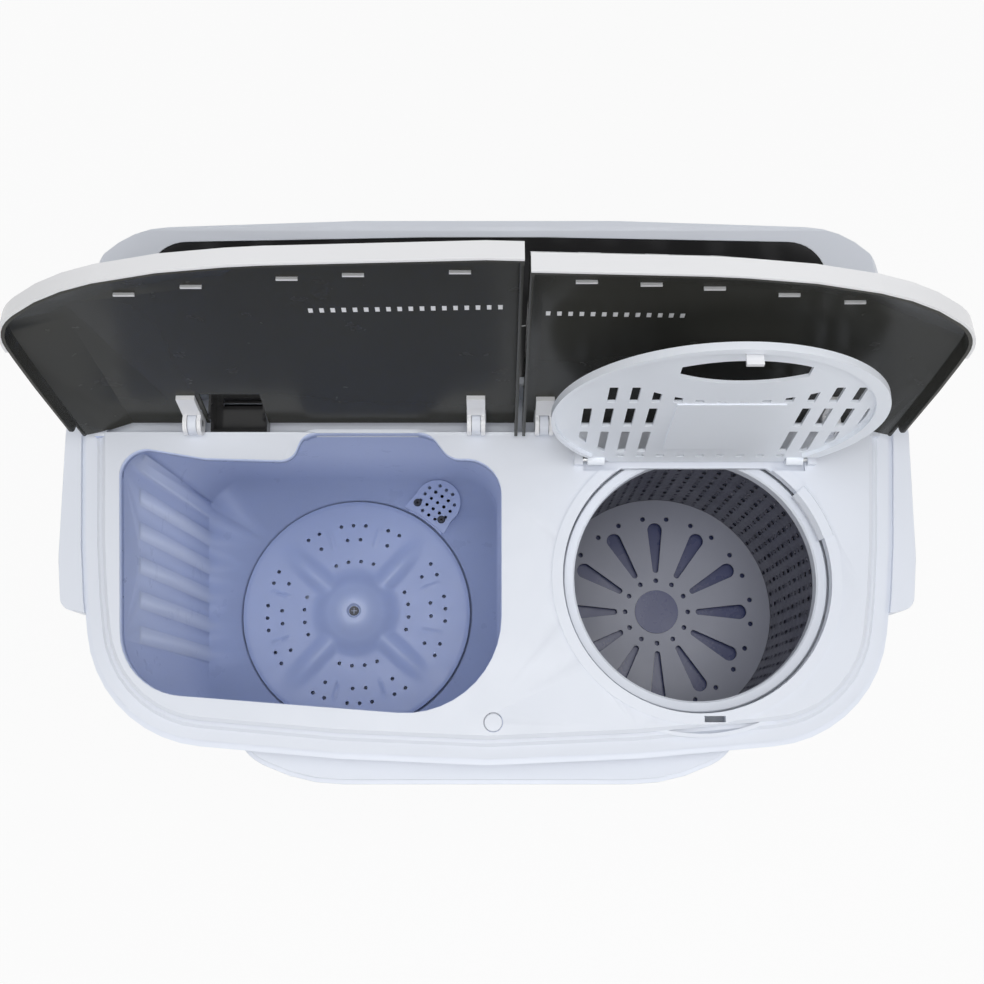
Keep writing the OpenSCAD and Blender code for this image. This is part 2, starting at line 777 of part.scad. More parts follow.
module drive_belt() {
    color("DimGray") at_pulsator() translate([0, 0, pulley_z + 6]) linear_extrude(pulley_h - 12) difference() {
        polygon(belt_line(4.5));
        polygon(belt_line(seat));
    }
}

module bearing_housing() {
    low = pulley_z + pulley_h + 1;
    top = -wash_depth - recess_depth - tub_wall - 0.05;
    color("Silver") at_pulsator() difference() {
        rotate_extrude() polygon([
            [wash_shaft_r + pin_fit, low], [20, low], [22, low + 2], [22, top - 9], [44, top - 5], [44, top],
            [seal_r - 6.2, top], [seal_r - 6.2, top + 3], [wash_shaft_r + pin_fit, top + 3]
        ]);
        for (a = [45 : 90 : 315]) rotate([0, 0, a]) translate([36, 0, 0]) disc(2.5, top - 12, top + 1);
    }
}

module drive_frame() {
    tub_under = -wash_depth - tub_wall - 0.05;
    color("Silver") at_pulsator() difference() {
        union() {
            translate([0, 0, frame_z]) linear_extrude(3) polygon(rounded([
                [-62, -62, 14], [68, -56, 14], [68, 62, 14], [motor_dx + 62, motor_dy + 30, 20],
                [motor_dx - 50, motor_dy + 30, 20], [-68, 68, 14]
            ]));
            for (p = post_places) translate([p.x * 2.35, p.y * 2.35, 0])
                disc(7, frame_z, tub_under);
            for (p = post_places) linear_extrude_bar([p.x, p.y], [p.x * 2.35, p.y * 2.35]);
        }
        translate([motor_dx, motor_dy, 0]) disc(12, frame_z - 1, frame_z + 4);
    }
}

// Flat bar of the drive frame between two places
module linear_extrude_bar(a, b) {
    d = b - a;
    translate([a.x, a.y, frame_z]) rotate([0, 0, atan2(d.y, d.x)])
        translate([0, -9, 0]) cube([norm(d), 18, 3]);
}

// Motor with its end bells, hanging or standing; its top face is at zero
module motor(r, h, bore) {
    rotate_extrude() polygon([
        [bore, 0], [r * 0.55, 0], [r * 0.75, -8], [r - 3, -16], [r - 3, -22], [r, -22], [r, -h + 22],
        [r - 3, -h + 22], [r - 3, -h + 16], [r * 0.75, -h + 8], [r * 0.5, -h], [0, -h], [0, -20], [bore, -20]
    ]);
}

module wash_motor() {
    color("SlateGray") at_pulsator() translate([motor_dx, motor_dy, frame_z - 0.05]) {
        motor(motor_r, motor_h, motor_shaft_r + pin_fit);
        for (a = [30 : 120 : 270]) rotate([0, 0, a])
            translate([motor_r - 14, -8, -22]) cube([22, 16, 22]);
    }
}

// Spin side

spin_floor = -spin_depth - 33;
drum_z = spin_floor - 190;
drum_h = 26;
spin_motor_top = drum_z - 12 + deck_h;
slot_long = 14;
slot_wide = 3;

module spin_tub() {
    drain_x = -spin_tub_r * 0.62;
    color(blue) difference() {
        at_basket() union() {
            tube(spin_tub_r + wall, spin_tub_r, spin_floor - wall, -channel_drop - wall - seat);
            disc(spin_tub_r + wall, spin_floor - wall, spin_floor);
            disc(34, spin_floor - 14, spin_floor);
            translate([drain_x, 0, 0]) disc(drain_bore_r + 3, spin_floor - 24, spin_floor - 1);
            for (a = [0 : 30 : 330]) rotate([0, 0, a])
                box([30, -1.5, spin_floor - 12], [spin_tub_r + wall - 1, 1.5, spin_floor - 1]);
        }
        at_basket() disc(22, spin_floor - 15, spin_floor + 1);
        at_basket() translate([drain_x, 0, 0]) disc(drain_bore_r, spin_floor - 25, spin_floor + 1);
    }
}

// Rubber boot that seals the spin tub round the shaft
module shaft_boot() {
    top = spin_floor;
    run = spin_shaft_r + 0.4;
    color("DimGray") at_basket() rotate_extrude() polygon([
        [run, top - 52], [run + 6, top - 52], [run + 6, top - 44], [24, top - 40], [24, top - 37],
        [17, top - 33], [28, top - 27], [28, top - 24], [19, top - 20], [21.9, top - 14.1],
        [21.9, top + 0.05], [26, top + 0.05], [26, top + 3], [18, top + 3], [18, top - 15], [14, top - 20],
        [23, top - 25], [12, top - 33], [19, top - 38.5], [run, top - 44]
    ]);
}

module basket_shaft() {
    color("Silver") at_basket() {
        disc(spin_shaft_r, drum_z - 8, -spin_depth - 14.1);
        disc(spin_shaft_r + 10, -spin_depth - 18, -spin_depth - 14.1);
    }
}

module brake_drum() {
    color("Gainsboro") at_basket() difference() {
        rotate_extrude() polygon([
            [spin_shaft_r, drum_z], [drum_r, drum_z], [drum_r, drum_z + drum_h],
            [drum_r - 4, drum_z + drum_h], [drum_r - 4, drum_z + 5], [20, drum_z + 5],
            [18, drum_z + drum_h], [spin_shaft_r, drum_z + drum_h]
        ]);
        for (a = [0 : 90 : 270]) rotate([0, 0, a + 20]) translate([33, 0, 0]) disc(6, drum_z - 1, drum_z + 6);
    }
}

brake_pivot = [drum_r + 14, 34];

module brake_arm() {
    lining_in = drum_r + 0.5;
    color("Silver") at_basket() {
        difference() {
            union() {
                translate([0, 0, drum_z + 2]) linear_extrude(drum_h - 6) difference() {
                    intersection() {
                        circle(lining_in + 5);
                        polygon([[0, 0], [90, -34], [90, 34]]);
                    }
                    circle(lining_in);
                }
                translate([0, 0, drum_z + 8]) linear_extrude(5) difference() {
                    union() {
                        translate(brake_pivot) circle(10);
                        polygon([
                            [lining_in + 3, -8], [lining_in + 3, 14], brake_pivot + [-8, 4],
                            brake_pivot + [8, -4], [lining_in + 10, -52], [lining_in + 3, -52]
                        ]);
                    }
                    circle(lining_in + 2);
                }
            }
            translate([brake_pivot.x, brake_pivot.y, 0])
                disc(4 + pin_fit, drum_z, drum_z + drum_h);
        }
    }
}

spin_mounts_r = motor_r + 2;

module spin_mount_places() {
    for (a = [90 : 120 : 330]) rotate_about_basket(a) translate([spin_mounts_r, 0, 0]) children();
}

module rotate_about_basket(a) {
    translate([spin_x, spin_y, 0]) rotate([0, 0, a]) children();
}

module spin_motor() {
    color("SlateGray") translate([spin_x, spin_y, spin_motor_top]) {
        motor(motor_r, motor_h, 14);
        // Tripod plate that stands on the three mounts and holds the brake arm's pivot
        translate([0, 0, -motor_h]) linear_extrude(4) for (a = [90 : 120 : 330])
            rotate([0, 0, a]) translate([0, -16]) square([spin_mounts_r + 18, 32]);
        translate([0, 0, -22]) linear_extrude(4) polygon(rounded([
            [motor_r - 12, 10, 4], [brake_pivot.x + 10, 22, 8], [brake_pivot.x + 10, 46, 8],
            [brake_pivot.x - 14, 46, 8], [20, 50, 4]
        ]));
        translate([brake_pivot.x, brake_pivot.y, 0]) disc(4, -20, 12 + 24);
    }
}

module spin_motor_mounts() {
    low = foot_h + 30.05;
    top = spin_motor_top - motor_h - 0.05;
    color("DimGray") spin_mount_places() difference() {
        disc(15, low, top);
        disc(4, low - 1, top + 1);
    }
}

// Perforated wall of the basket
module basket_wall_ring() {
    low = -spin_depth - 14;
    rows_low = -spin_depth + 18;
    rows_top = -rim_drop - 34;
    pitch = (rows_top - rows_low) / wall_rows;
    color(white) at_basket() difference() {
        tube(basket_r, basket_r - basket_wall, low, -rim_drop - 12);
        for (row = [0 : wall_rows - 1], col = [0 : wall_columns - 1])
            rotate([0, 0, (col + (row % 2) / 2) * 360 / wall_columns])
                translate([basket_r - basket_wall - 2, -slot_wide / 2, rows_low + row * pitch])
                    cube([basket_wall + 4, slot_wide, slot_long]);
    }
}

// Balance ring that forms the basket's mouth
module basket_rim() {
    color(white) at_basket() rotate_extrude() polygon([
        [basket_mouth_r + 1.5, -rim_drop], [rim_r - 1, -rim_drop], [rim_r, -rim_drop - 1],
        [rim_r, -rim_drop - 7], [basket_r, -rim_drop - 12], [basket_r - basket_wall - seat / 3, -rim_drop - 12],
        [basket_r - basket_wall - seat / 3, -rim_drop - 26], [basket_r - 6, -rim_drop - 27],
        [basket_mouth_r, -rim_drop - 14], [basket_mouth_r, -rim_drop - 1.5]
    ]);
}

cap_r = 22;

module floor_slot(inner, outer) {
    slot_r = 7.5;
    tip_r = 3;
    translate([outer - slot_r, 0]) circle(slot_r);
    translate([inner + tip_r, 0]) circle(tip_r);
    polygon([
        [inner + tip_r, -tip_r], [outer - slot_r, -slot_r], [outer - slot_r, slot_r], [inner + tip_r, tip_r]
    ]);
}

module basket_floor() {
    r = basket_r - basket_wall - 0.1;
    step = 360 / floor_slots;
    color(white) at_basket() translate([0, 0, -spin_depth - 3]) difference() {
        linear_extrude(3) difference() {
            circle(r);
            circle(cap_r + 0.2);
            for (i = [0 : floor_slots - 1]) rotate(i * step) {
                floor_slot(40, r - 24);
                translate([32, 0]) circle(2.5, $fn = 24);
                for (side = [-1, 1]) rotate(side * 7.3) translate([r - 19.5, 0]) circle(2.5, $fn = 24);
            }
        }
    }
}

module basket_base() {
    color([0.30, 0.34, 0.50]) at_basket() difference() {
        union() {
            disc(basket_r - basket_wall - 0.1, -spin_depth - 14, -spin_depth - 11);
            disc(cap_r, -spin_depth - 11.1, -spin_depth + 1);
            tube(basket_r - basket_wall - 0.1, basket_r - basket_wall - 6, -spin_depth - 11.1, -spin_depth - 3);
        }
        disc(3.2, -spin_depth - 15, -spin_depth - 4);
    }
}

// Curved spout on the edge of the spin mouth that rinse water runs from
module rinse_spout() {
    color(white) at_basket() rotate([0, 0, 17]) rotate_extrude(angle = 23) polygon([
        [mouth_r - 4, -8], [mouth_r - seat, -8], [mouth_r - seat, lip_h + 0.2], [mouth_r + 8, lip_h + 0.2],
        [mouth_r + 7, lip_h + 1.5], [mouth_r - 1, lip_h + 1.7], [mouth_r - 4, -2]
    ]);
}

// Water ways

valve_top = -wash_depth - 16.05;
valve_bottom = valve_top - 62;
drain_low_z = 170;

module drain_valve_body() {
    color("Gainsboro") translate([grille_x, grille_y, deck_h]) difference() {
        union() {
            tube(24, 19.5, valve_bottom, valve_top);
            disc(24, valve_bottom, valve_bottom + 3);
            rotate([0, 0, 90]) translate([20, 0, valve_bottom + 20]) rotate([0, 90, 0])
                cylinder(r = drain_bore_r + 3, h = 22);
        }
        rotate([0, 0, 90]) translate([15, 0, valve_bottom + 20]) rotate([0, 90, 0])
            cylinder(r = drain_bore_r, h = 30);
        disc(4.5 + seat, valve_bottom - 1, valve_bottom + 4);
    }
}

// Sealing plug that the selector lifts off its seat
module drain_valve_plunger() {
    color("DimGray") translate([grille_x, grille_y, deck_h]) rotate_extrude() polygon([
        [0, valve_bottom - 12], [4.5, valve_bottom - 12], [4.5, valve_bottom + 6], [17, valve_bottom + 9],
        [18.6, valve_bottom + 16], [18.6, valve_bottom + 34], [9, valve_bottom + 38], [0, valve_bottom + 38]
    ]);
}

spigot_x = grille_x;
elbow_r = 34;

module drain_pipe() {
    y0 = grille_y + 42.2;
    z0 = deck_h + valve_bottom + 20;
    y1 = y0 + elbow_r;
    y2 = y1 + elbow_r;
    color("DimGray") translate([grille_x, 0, 0]) {
        // Down from the valve, then back to the spigot
        translate([0, y0, z0 - elbow_r]) rotate([90, 0, 90]) quarter_bend();
        translate([0, y1, 0]) tube(drain_bore_r + 3, drain_bore_r, drain_low_z + elbow_r, z0 - elbow_r);
        translate([0, y2, drain_low_z + elbow_r]) rotate([90, 0, 90]) rotate([0, 0, 180]) quarter_bend();
        translate([0, y2, drain_low_z]) rotate([-90, 0, 0])
            tube(drain_bore_r + 3, drain_bore_r, 0, back_y - y2 - 6.05);
    }
}

// A quarter of a ring of pipe in the XY plane
module quarter_bend() {
    rotate_extrude(angle = 90, $fn = 48) translate([elbow_r, 0]) difference() {
        circle(drain_bore_r + 3, $fn = 48);
        circle(drain_bore_r, $fn = 48);
    }
}

module place_spigot() {
    translate([grille_x, back_y, drain_low_z]) rotate([-90, 0, 0]) children();
}

module place_inlet() {
    translate([wash_left + 100, back_y, deck_h - 130]) rotate([-90, 0, 0]) children();
}

module place_gland() {
    translate([half_w - 130, back_y, 180]) rotate([-90, 0, 0]) children();
}

module drain_spigot() {
    color(white) place_spigot() difference() {
        union() {
            disc(spigot_r, -4, back_recess - 1);
            disc(spigot_r + 5, -6, -2.1);
        }
        disc(drain_bore_r, -7, back_recess + 1);
    }
}

module water_inlet() {
    color(white) place_inlet() difference() {
        union() {
            disc(inlet_r, -30, back_recess - 1);
            disc(inlet_r + 6, -7, -2.1);
        }
        disc(inlet_r - 3, -31, back_recess + 1);
    }
}

module cord_gland() {
    color("DimGray") place_gland() rotate_extrude() polygon([
        [4, -8], [13, -8], [13, -2.1], [8.8, -2.1], [8.8, 0.2], [12, 0.2], [12, 3], [9, 12], [6, 16], [4, 16]
    ]);
}

// Open trough under the console that leads the water to the wash tub
module water_trough() {
    x = wash_left + 60;
    top = deck_h - channel_drop - wall - 0.05;
    y = [deck_back + 21 + tub_wall + seat, back_y - 30 - seat];
    color([0.03, 0.03, 0.03]) difference() {
        box([x, y[0], top - 34], [x + 80, y[1], top]);
        box([x + 2.5, y[0] + 2.5, top - 31.5], [x + 77.5, y[1] - 2.5, top + 1]);
    }
    // Chute behind the wash lid's notch, which drains through the channel's floor into the trough
    color([0.03, 0.03, 0.03]) on_deck() difference() {
        box([notch_x[0] + 1, chute_y[0], 0.05 - channel_drop], [notch_x[1] - 1, chute_y[1], chute_h]);
        box([notch_x[0] + 3, chute_y[0] + 2, 2 - channel_drop], [notch_x[1] - 3, chute_y[1] - 2, chute_h + 1]);
        box([notch_x[0] - 1, chute_y[0] - 1, 0], [notch_x[1] + 1, chute_y[0] + 8, chute_h + 1]);
        chute_drain();
    }
}

// Slot through the floor of the chute and of the hinge channel
module chute_drain() {
    box([notch_x[0] + 8, chute_y[1] - 5.5, -channel_drop - wall - 1], [notch_x[1] - 8, chute_y[1] - 2.5, 3 - channel_drop]);
}

module capacitor() {
    color("Silver") translate([half_w - 110, 150, foot_h + 5.05]) {
        disc(21, 0, 74);
        for (side = [-1, 1]) translate([side * 7, -2, 74 - eps]) cube([2, 5, 9]);
    }
}

// Console

slope_low = 26;             // height of the sloped face's front edge over the work top
slope_ends = [1, 8];        // distance from its edges to the console's front and back
console_slope = atan((console_h - slope_low) / (console_d - slope_ends[0] - slope_ends[1]));
slope_len = (console_d - slope_ends[0] - slope_ends[1]) / cos(console_slope);
panel_drop = 2;

// The three outlines whose common space is the console; d moves them all inwards
module console_space(d) {
    h = console_h;
    side_w = half_w - 1.5;
    front = console_front;
    seat_z = 0.05 - channel_drop;
    intersection() {
        translate([-half_w - 10, 0, 0]) rotate([90, 0, 90]) linear_extrude(body_w + 20)
            polygon(rounded(grow([
                [front, seat_z, 0.5], [body_back + 5, seat_z, 0.5],
                [body_back + 5, h, 8], [body_back - slope_ends[1], h, 10], [front + slope_ends[0], slope_low, 5]
            ], -d)));
        translate([0, body_back + 20, 0]) rotate([90, 0, 0]) linear_extrude(200)
            polygon(rounded(grow([
                [-side_w, seat_z, 0.5], [side_w, seat_z, 0.5], [side_w, 6, 20],
                [side_w - 36, h, 30], [36 - side_w, h, 30], [-side_w, 6, 20]
            ], -d)));
        translate([0, 0, -60]) linear_extrude(200)
            polygon(rounded(grow([
                [-half_w, front, 3], [half_w, front, 3], [half_w, body_back - 10, 92],
                [0, body_back + 1.8, 3000], [-half_w, body_back - 10, 92]
            ], -d)));
    }
}

// Places things on the sloped face: X along the console, Y up the slope, Z out of the face
module on_slope() {
    translate([0, console_front + slope_ends[0], slope_low + deck_h]) rotate([console_slope, 0, 0]) children();
}

panel_outline = [
    [-290, 7, 18], [290, 7, 18], [268, slope_len - 11, 34], [0, slope_len - 6, 2500],
    [-268, slope_len - 11, 34]
];
knob_y = 44;
timer_top = -wall - 0.1;

module console_housing() {
    color(white) difference() {
        on_deck() console_space(0);
        on_deck() console_space(wall);
        on_slope() slab(panel_outline, -panel_drop, 20);
        on_slope() for (i = [-1 : 1]) translate([i * knob_pitch, knob_y, 0]) disc(9, -12, 5);
    }
}

module control_panel() {
    color("black") on_slope() difference() {
        slab(grow(panel_outline, -0.3), -panel_drop + 0.02, 0.2);
        for (i = [-1 : 1]) translate([i * knob_pitch, knob_y, 0]) disc(9, -12, 5);
    }
}

module knob(i) {
    low = 0.7;
    color(white) on_slope() translate([i * knob_pitch, knob_y, 0]) difference() {
        union() {
            rotate_extrude() polygon([
                [0, low], [knob_r, low], [knob_r, low + 3], [knob_r - 2, low + 5], [knob_r - 5, low + 6],
                [0, low + 6]
            ]);
            disc(8, timer_top + 0.5, low + 1);
            // Grip bar across the dial
            intersection() {
                translate([-6, -knob_r + 2, low + 1]) cube([12, 2 * knob_r - 4, knob_h - low - 1]);
                disc(knob_r - 3, low, knob_h);
            }
        }
        translate([0, 0, -7]) cylinder(r = 3.02, h = 14);
        translate([-1, knob_r - 14, knob_h - 1]) cube([2, 10, 3]);
    }
}

module wash_timer_knob() {
    knob(-1);
}

module selector_knob() {
    knob(0);
}

module spin_timer_knob() {
    knob(1);
}

// Clockwork or switch behind a knob, screwed to the console's inner face
module timer_unit(i, w) {
    color("Gainsboro") on_slope() translate([i * knob_pitch, knob_y, 0]) {
        box([-w / 2, -22, timer_top - 26], [w / 2, 22, timer_top]);
        disc(3, timer_top - 1, 6.5);
    }
}

module wash_timer() {
    timer_unit(-1, 48);
}

module selector_switch() {
    timer_unit(0, 38);
}

module spin_timer() {
    timer_unit(1, 44);
}

// Lids, drawn closed and then swung open about their pins

trim_t = 2.2;
grip_slots_wash = 18;
grip_slots_spin = 13;
slot_pitch = 8;
slot_row_y = 101;           // behind the front edge
rim_z = -ledge_drop + 0.5;
lid_knee = lid_h - 14.5;     // where the rim ends and the sloped part starts

module swing(y, z, open) {
    translate([0, y, z]) rotate([-open, 0, 0]) translate([0, -y, -z]) children();
}

// Outline of the lids moved outwards by d, with its back edge kept at one place
function lid_plan(d, back) = [
    for (p = grow(lid_outline, d)) [p.x, p.y > hinge_y - 30 ? hinge_y + back : p.y, p.z]
];

// The same for the flat top, which stands further in from the sides than from the front
function lid_top_plan(d, back) = [
    for (p = lid_plan(d, back)) [p.x * (1 - lid_side_slope / (lid_half_w - lid_slope)), p.y, p.z]
];

// Dome over both tubs, grown by g, with its back edge a distance behind the hinge
module lid_dome(g, back = 12, low = 0) {
    d = g - trim_t - 0.1;
    hull() {
        slab(lid_plan(d, back), rim_z - low, rim_z + 0.2);
        slab(lid_plan(d - 1, back), lid_knee + g / 2, lid_knee + 0.2 + g / 2);
        slab(lid_top_plan(d - lid_slope, back), lid_h - 0.2 + g, lid_h + g);
    }
}

module lid_side(side, x0, z0 = -40, z1 = 60) {
    if (side < 0) box([-lid_half_w - 10, -body_front - 30, z0], [x0, body_back, z1]);
    else box([x0, -body_front - 30, z0], [lid_half_w + 10, body_back, z1]);
}

// Slots in a row behind the front edge; the grip's teeth stand in them
module slot_row(side, w, l, z0, z1) {
    count = side < 0 ? grip_slots_wash : grip_slots_spin;
    for (i = [0 : count - 1]) {
        x = split_x + side * (17 + i * slot_pitch);
        y = -lid_front + slot_row_y + i * 0.28;
        box([x - w / 2, y - l / 2, z0], [x + w / 2, y + l / 2, z1]);
    }
}

// Tongues of the trim run up the lid's outer face and clip through it in a row of narrow slots
wash_tab_x = [-17.8, -91, -137, -205, -254];
spin_tab_x = [68.5, 113, 157, 210, 258];

function tab_y(x) = 53.5 - lid_front + 0.00045 * x * x;

module tab_row(side, w, t, z0, z1) {
    for (x = side < 0 ? wash_tab_x : spin_tab_x)
        box([x - w / 2, tab_y(x) - t / 2, z0], [x + w / 2, tab_y(x) + t / 2, z1]);
}

module tab_tongues(side, w) {
    for (x = side < 0 ? wash_tab_x : spin_tab_x)
        box([x - w / 2, -lid_front - 1, 0], [x + w / 2, tab_y(x) + 3, 60]);
}

rim_end_y = 47;
rim_end_r = 8;
back_edge_r = 10.6;

module lid_shell(side, arms) {
    edge = split_x + side * lid_split / 2;
    difference() {
        intersection() {
            lid_dome(0);
            lid_side(side, edge);
        }
        intersection() {
            lid_dome(-lid_wall, 30, 1);
            lid_side(side, edge + side * lid_wall);
        }
        // The rim ends in a rounded corner beside the hinge channel and is cut off over the work top
        difference() {
            box([-lid_half_w - 5, rim_end_y, rim_z - 5], [lid_half_w + 5, body_back, 1]);
            translate([0, rim_end_y, rim_z + rim_end_r]) rotate([0, 90, 0])
                cylinder(r = rim_end_r, h = lids_w + 20, center = true);
        }
        box([split_x - 9, 8 - lid_front, rim_z - 5], [split_x + 9, body_back, 1]);
        // Its back edge is rounded about the hinge, so that it turns clear of the work top's edge
        difference() {
            box([-lid_half_w - 5, hinge_y - 4, rim_z - 9], [lid_half_w + 5, body_back, hinge_h]);
            translate([0, hinge_y, hinge_h]) rotate([0, 90, 0])
                cylinder(r = back_edge_r, h = lids_w + 20, center = true);
        }
        for (x = arms) box(
            [x - arm_w / 2 - 0.6, hinge_y - arm_r - 2, -5],
            [x + arm_w / 2 + 0.6, hinge_y + 20, lid_h + 5]
        );
        slot_row(side, 3.6, 6.2, 0, 60);
        tab_row(side, 15.6, 2.4, 0, 60);
    }
}

module lid_trim(side) {
    edge = split_x + side * lid_split / 2;
    intersection() {
        difference() {
            lid_dome(trim_t + 0.1);
            lid_dome(0.1, 20, 1);
            difference() {
                slab(grow(lid_outline, -18), 0, 60);
                tab_tongues(side, 15);
            }
        }
        lid_side(side, edge);
        box([-lid_half_w - 5, -body_front - 30, rim_z - 5], [lid_half_w + 5, -82, 60]);
    }
    tab_row(side, 15, 1.8, lid_h - 4.5, lid_h + 1);
}

// Boat-shaped grip plate on the lid, whose teeth stand in the row of slots
module lid_grip(side) {
    length = 62 + slot_pitch * (side < 0 ? grip_slots_wash : grip_slots_spin);
    outline = [
        [split_x + side * 6, -lid_front + slot_row_y + 25, 6],
        [split_x + side * 6, -lid_front + slot_row_y - 20, 6],
        [split_x + side * length, -lid_front + slot_row_y - 10, 12],
        [split_x + side * (length - 50), -lid_front + slot_row_y + 27, 40]
    ];
    ordered = side > 0 ? outline : [for (i = [3 : -1 : 0]) outline[i]];
    slab(ordered, lid_h + 0.05, lid_h + 3);
    slot_row(side, 3.2, 5.8, lid_h - lid_wall, lid_h + 1);
}

// Hinge arm: two cheeks on the pin and a leg along the lid's inner face
module lid_arms(places) {
    inner_z = lid_h - lid_wall - 0.05;
    for (x = places) difference() {
        union() {
            translate([x, hinge_y, hinge_h]) rotate([0, 90, 0])
                cylinder(r = arm_r, h = arm_w, center = true);
            box([x - arm_w / 2, hinge_y - 38, inner_z - 4], [x + arm_w / 2, hinge_y, inner_z]);
        }
        translate([x, hinge_y, hinge_h]) rotate([0, 90, 0])
            cylinder(r = lid_pin_r, h = arm_w + 1, center = true);
        // Slot for the tongue of the top frame, through the whole swing
        translate([x, hinge_y, hinge_h]) rotate([0, 90, 0])
            cylinder(r = arm_r + 0.4, h = tongue_w + 1, center = true);
        box(
            [x - tongue_w / 2 - 0.5, hinge_y - 7, -channel_drop],
            [x + tongue_w / 2 + 0.5, hinge_y + 12, hinge_h]
        );
    }
}

module lid_pins(places) {
    for (x = places) translate([x, hinge_y, hinge_h]) rotate([0, 90, 0])
        cylinder(r = lid_pin_r - 0.001, h = arm_w, center = true);
}

module open_wash_lid() {
    on_deck() swing(hinge_y, hinge_h, wash_lid_open) children();
}

module open_spin_lid() {
    on_deck() swing(hinge_y, hinge_h, spin_lid_open) children();
}

module wash_lid() {
    color(smoke) open_wash_lid() difference() {
        lid_shell(-1, wash_arm_x);
        // Notch at the hinge that the inlet hose reaches through
        box([notch_x[0], hinge_y - 40, -5], [notch_x[1], hinge_y + 20, lid_h + 5]);
    }
}

module wash_lid_trim() {
    color(white) open_wash_lid() lid_trim(-1);
}

module wash_lid_grip() {
    color(white) open_wash_lid() lid_grip(-1);
}

module wash_lid_arms() {
    color(white) open_wash_lid() lid_arms(wash_arm_x);
}

module wash_lid_pins() {
    color("Silver") open_wash_lid() lid_pins(wash_arm_x);
}

module spin_lid() {
    color(smoke) open_spin_lid() lid_shell(1, spin_arm_x);
}

module spin_lid_trim() {
    color(white) open_spin_lid() lid_trim(1);
}

module spin_lid_grip() {
    color(white) open_spin_lid() lid_grip(1);
}

module spin_lid_arms() {
    color(white) open_spin_lid() lid_arms(spin_arm_x);
}

module spin_lid_pins() {
    color("Silver") open_spin_lid() lid_pins(spin_arm_x);
}

// Inner safety cover

cover_plate = [3.6, 6.2];   // underside and top of its plate when closed
cover_back = cover_hinge_y + 5;
cover_slot_w = 6.5;
cover_pitch = 16.45;
cover_columns = 6;
window_w = 92;
feature_shift = latch_x;    // slots and window stand under the latch

module open_cover() {
    on_deck() swing(cover_hinge_y, cover_hinge_h, cover_open) translate([spin_x, spin_y, 0]) children();
}

module cover_outline(d) {
    intersection() {
        translate([cover_shift, 0]) circle(cover_r - d);
        translate([-cover_r - 9, -cover_r]) square([2 * cover_r + 18, cover_back - spin_y + cover_r]);
    }
}

// All slots of the cover; each row keeps to its own band and stays inside the round edge
module cover_slots() {
    bands = [[86, 91, 0, 5], [34, 79, 3, 6], [-14, 23, 3, 6]];
    intersection() {
        translate([cover_shift, 0]) circle(cover_r - 14);
        union() {
            for (band = bands, side = [-1, 1], k = [band[2] : band[3]])
                translate([feature_shift + side * (k + 0.5) * cover_pitch - cover_slot_w / 2, band[0]])
                    square([cover_slot_w, band[1] - band[0]]);
            difference() {
                for (side = [-1, 1], k = [0 : cover_columns - 1])
                    translate([feature_shift + side * (k + 0.5) * cover_pitch - cover_slot_w / 2, -54])
                        square([cover_slot_w, 29]);
                translate([feature_shift, -136]) circle(109);
            }
        }
    }
}

module inner_cover() {
    tilt_in = cover_hinge_y - spin_y;
    color(white) open_cover() difference() {
        union() {
            translate([0, 0, cover_plate[0]]) linear_extrude(cover_plate[1] - cover_plate[0]) difference() {
                cover_outline(0);
                cover_slots();
                // Finger window
                translate([feature_shift, 0]) intersection() {
                    translate([-window_w / 2, -101]) square([window_w, 40]);
                    circle(101);
                    translate([0, -150]) circle(89);
                }
            }
            // Skirt that goes round the lip of the mouth
            translate([0, 0, seat]) linear_extrude(cover_plate[1] - seat) difference() {
                cover_outline(0);
                circle(lip_r + 1.2);
                translate([-cover_r - 9, tilt_in - 14]) square([2 * cover_r + 18, 40]);
            }
            // Blank raised panel in the middle, on the underside
            translate([feature_shift - 41, -23, cover_plate[0] - 1]) cube([82, 93, 1.2]);
            // Hinge barrels
            for (side = [-1, 1])
                translate([side * (cover_ear_x - 12), tilt_in, cover_hinge_h]) rotate([0, 90, 0])
                    cylinder(r = 5, h = 14, center = true);
        }
        for (side = [-1, 1])
            translate([side * (cover_ear_x - 10), tilt_in, cover_hinge_h]) rotate([0, 90, 0])
                cylinder(r = cover_pin_r + 0.001, h = 20, center = true);
    }
}

// Latch that drops into the slot of the top frame
module cover_latch() {
    y = latch_y - spin_y;
    color(white) open_cover() {
        box([latch_x - latch_w / 2, y - 1.6, -6], [latch_x + latch_w / 2, y + 1.6, cover_plate[0] - 0.05]);
        box([latch_x - latch_w / 2, y - 2.2, -6], [latch_x + latch_w / 2, y + 1.6, -4]);
    }
}

module cover_pins() {
    tilt_in = cover_hinge_y - spin_y;
    color("Silver") open_cover() for (side = [-1, 1])
        translate([side * (cover_ear_x - 6.5), tilt_in, cover_hinge_h]) rotate([0, 90, 0])
            cylinder(r = cover_pin_r, h = 22, center = true);
}

cabinet_shell();
base_tray();
rubber_feet();
back_panel();
top_frame();
side_grips();
screw_plug();
wash_tub();
lint_grille();
case_screws();
pulsator();
pulsator_screw();
pulsator_shaft();
pulsator_pulley();
bearing_housing();
drive_belt();
motor_pulley();
wash_motor();
drive_frame();
spin_tub();
shaft_boot();
basket_wall_ring();
basket_rim();
basket_floor();
basket_base();
basket_shaft();
brake_drum();
brake_arm();
spin_motor();
spin_motor_mounts();
rinse_spout();
drain_valve_body();
drain_valve_plunger();
drain_pipe();
drain_spigot();
water_inlet();
water_trough();
console_housing();
control_panel();
wash_timer_knob();
selector_knob();
spin_timer_knob();
wash_timer();
selector_switch();
spin_timer();
capacitor();
cord_gland();
wash_lid();
wash_lid_trim();
wash_lid_grip();
wash_lid_arms();
wash_lid_pins();
spin_lid();
spin_lid_trim();
spin_lid_grip();
spin_lid_arms();
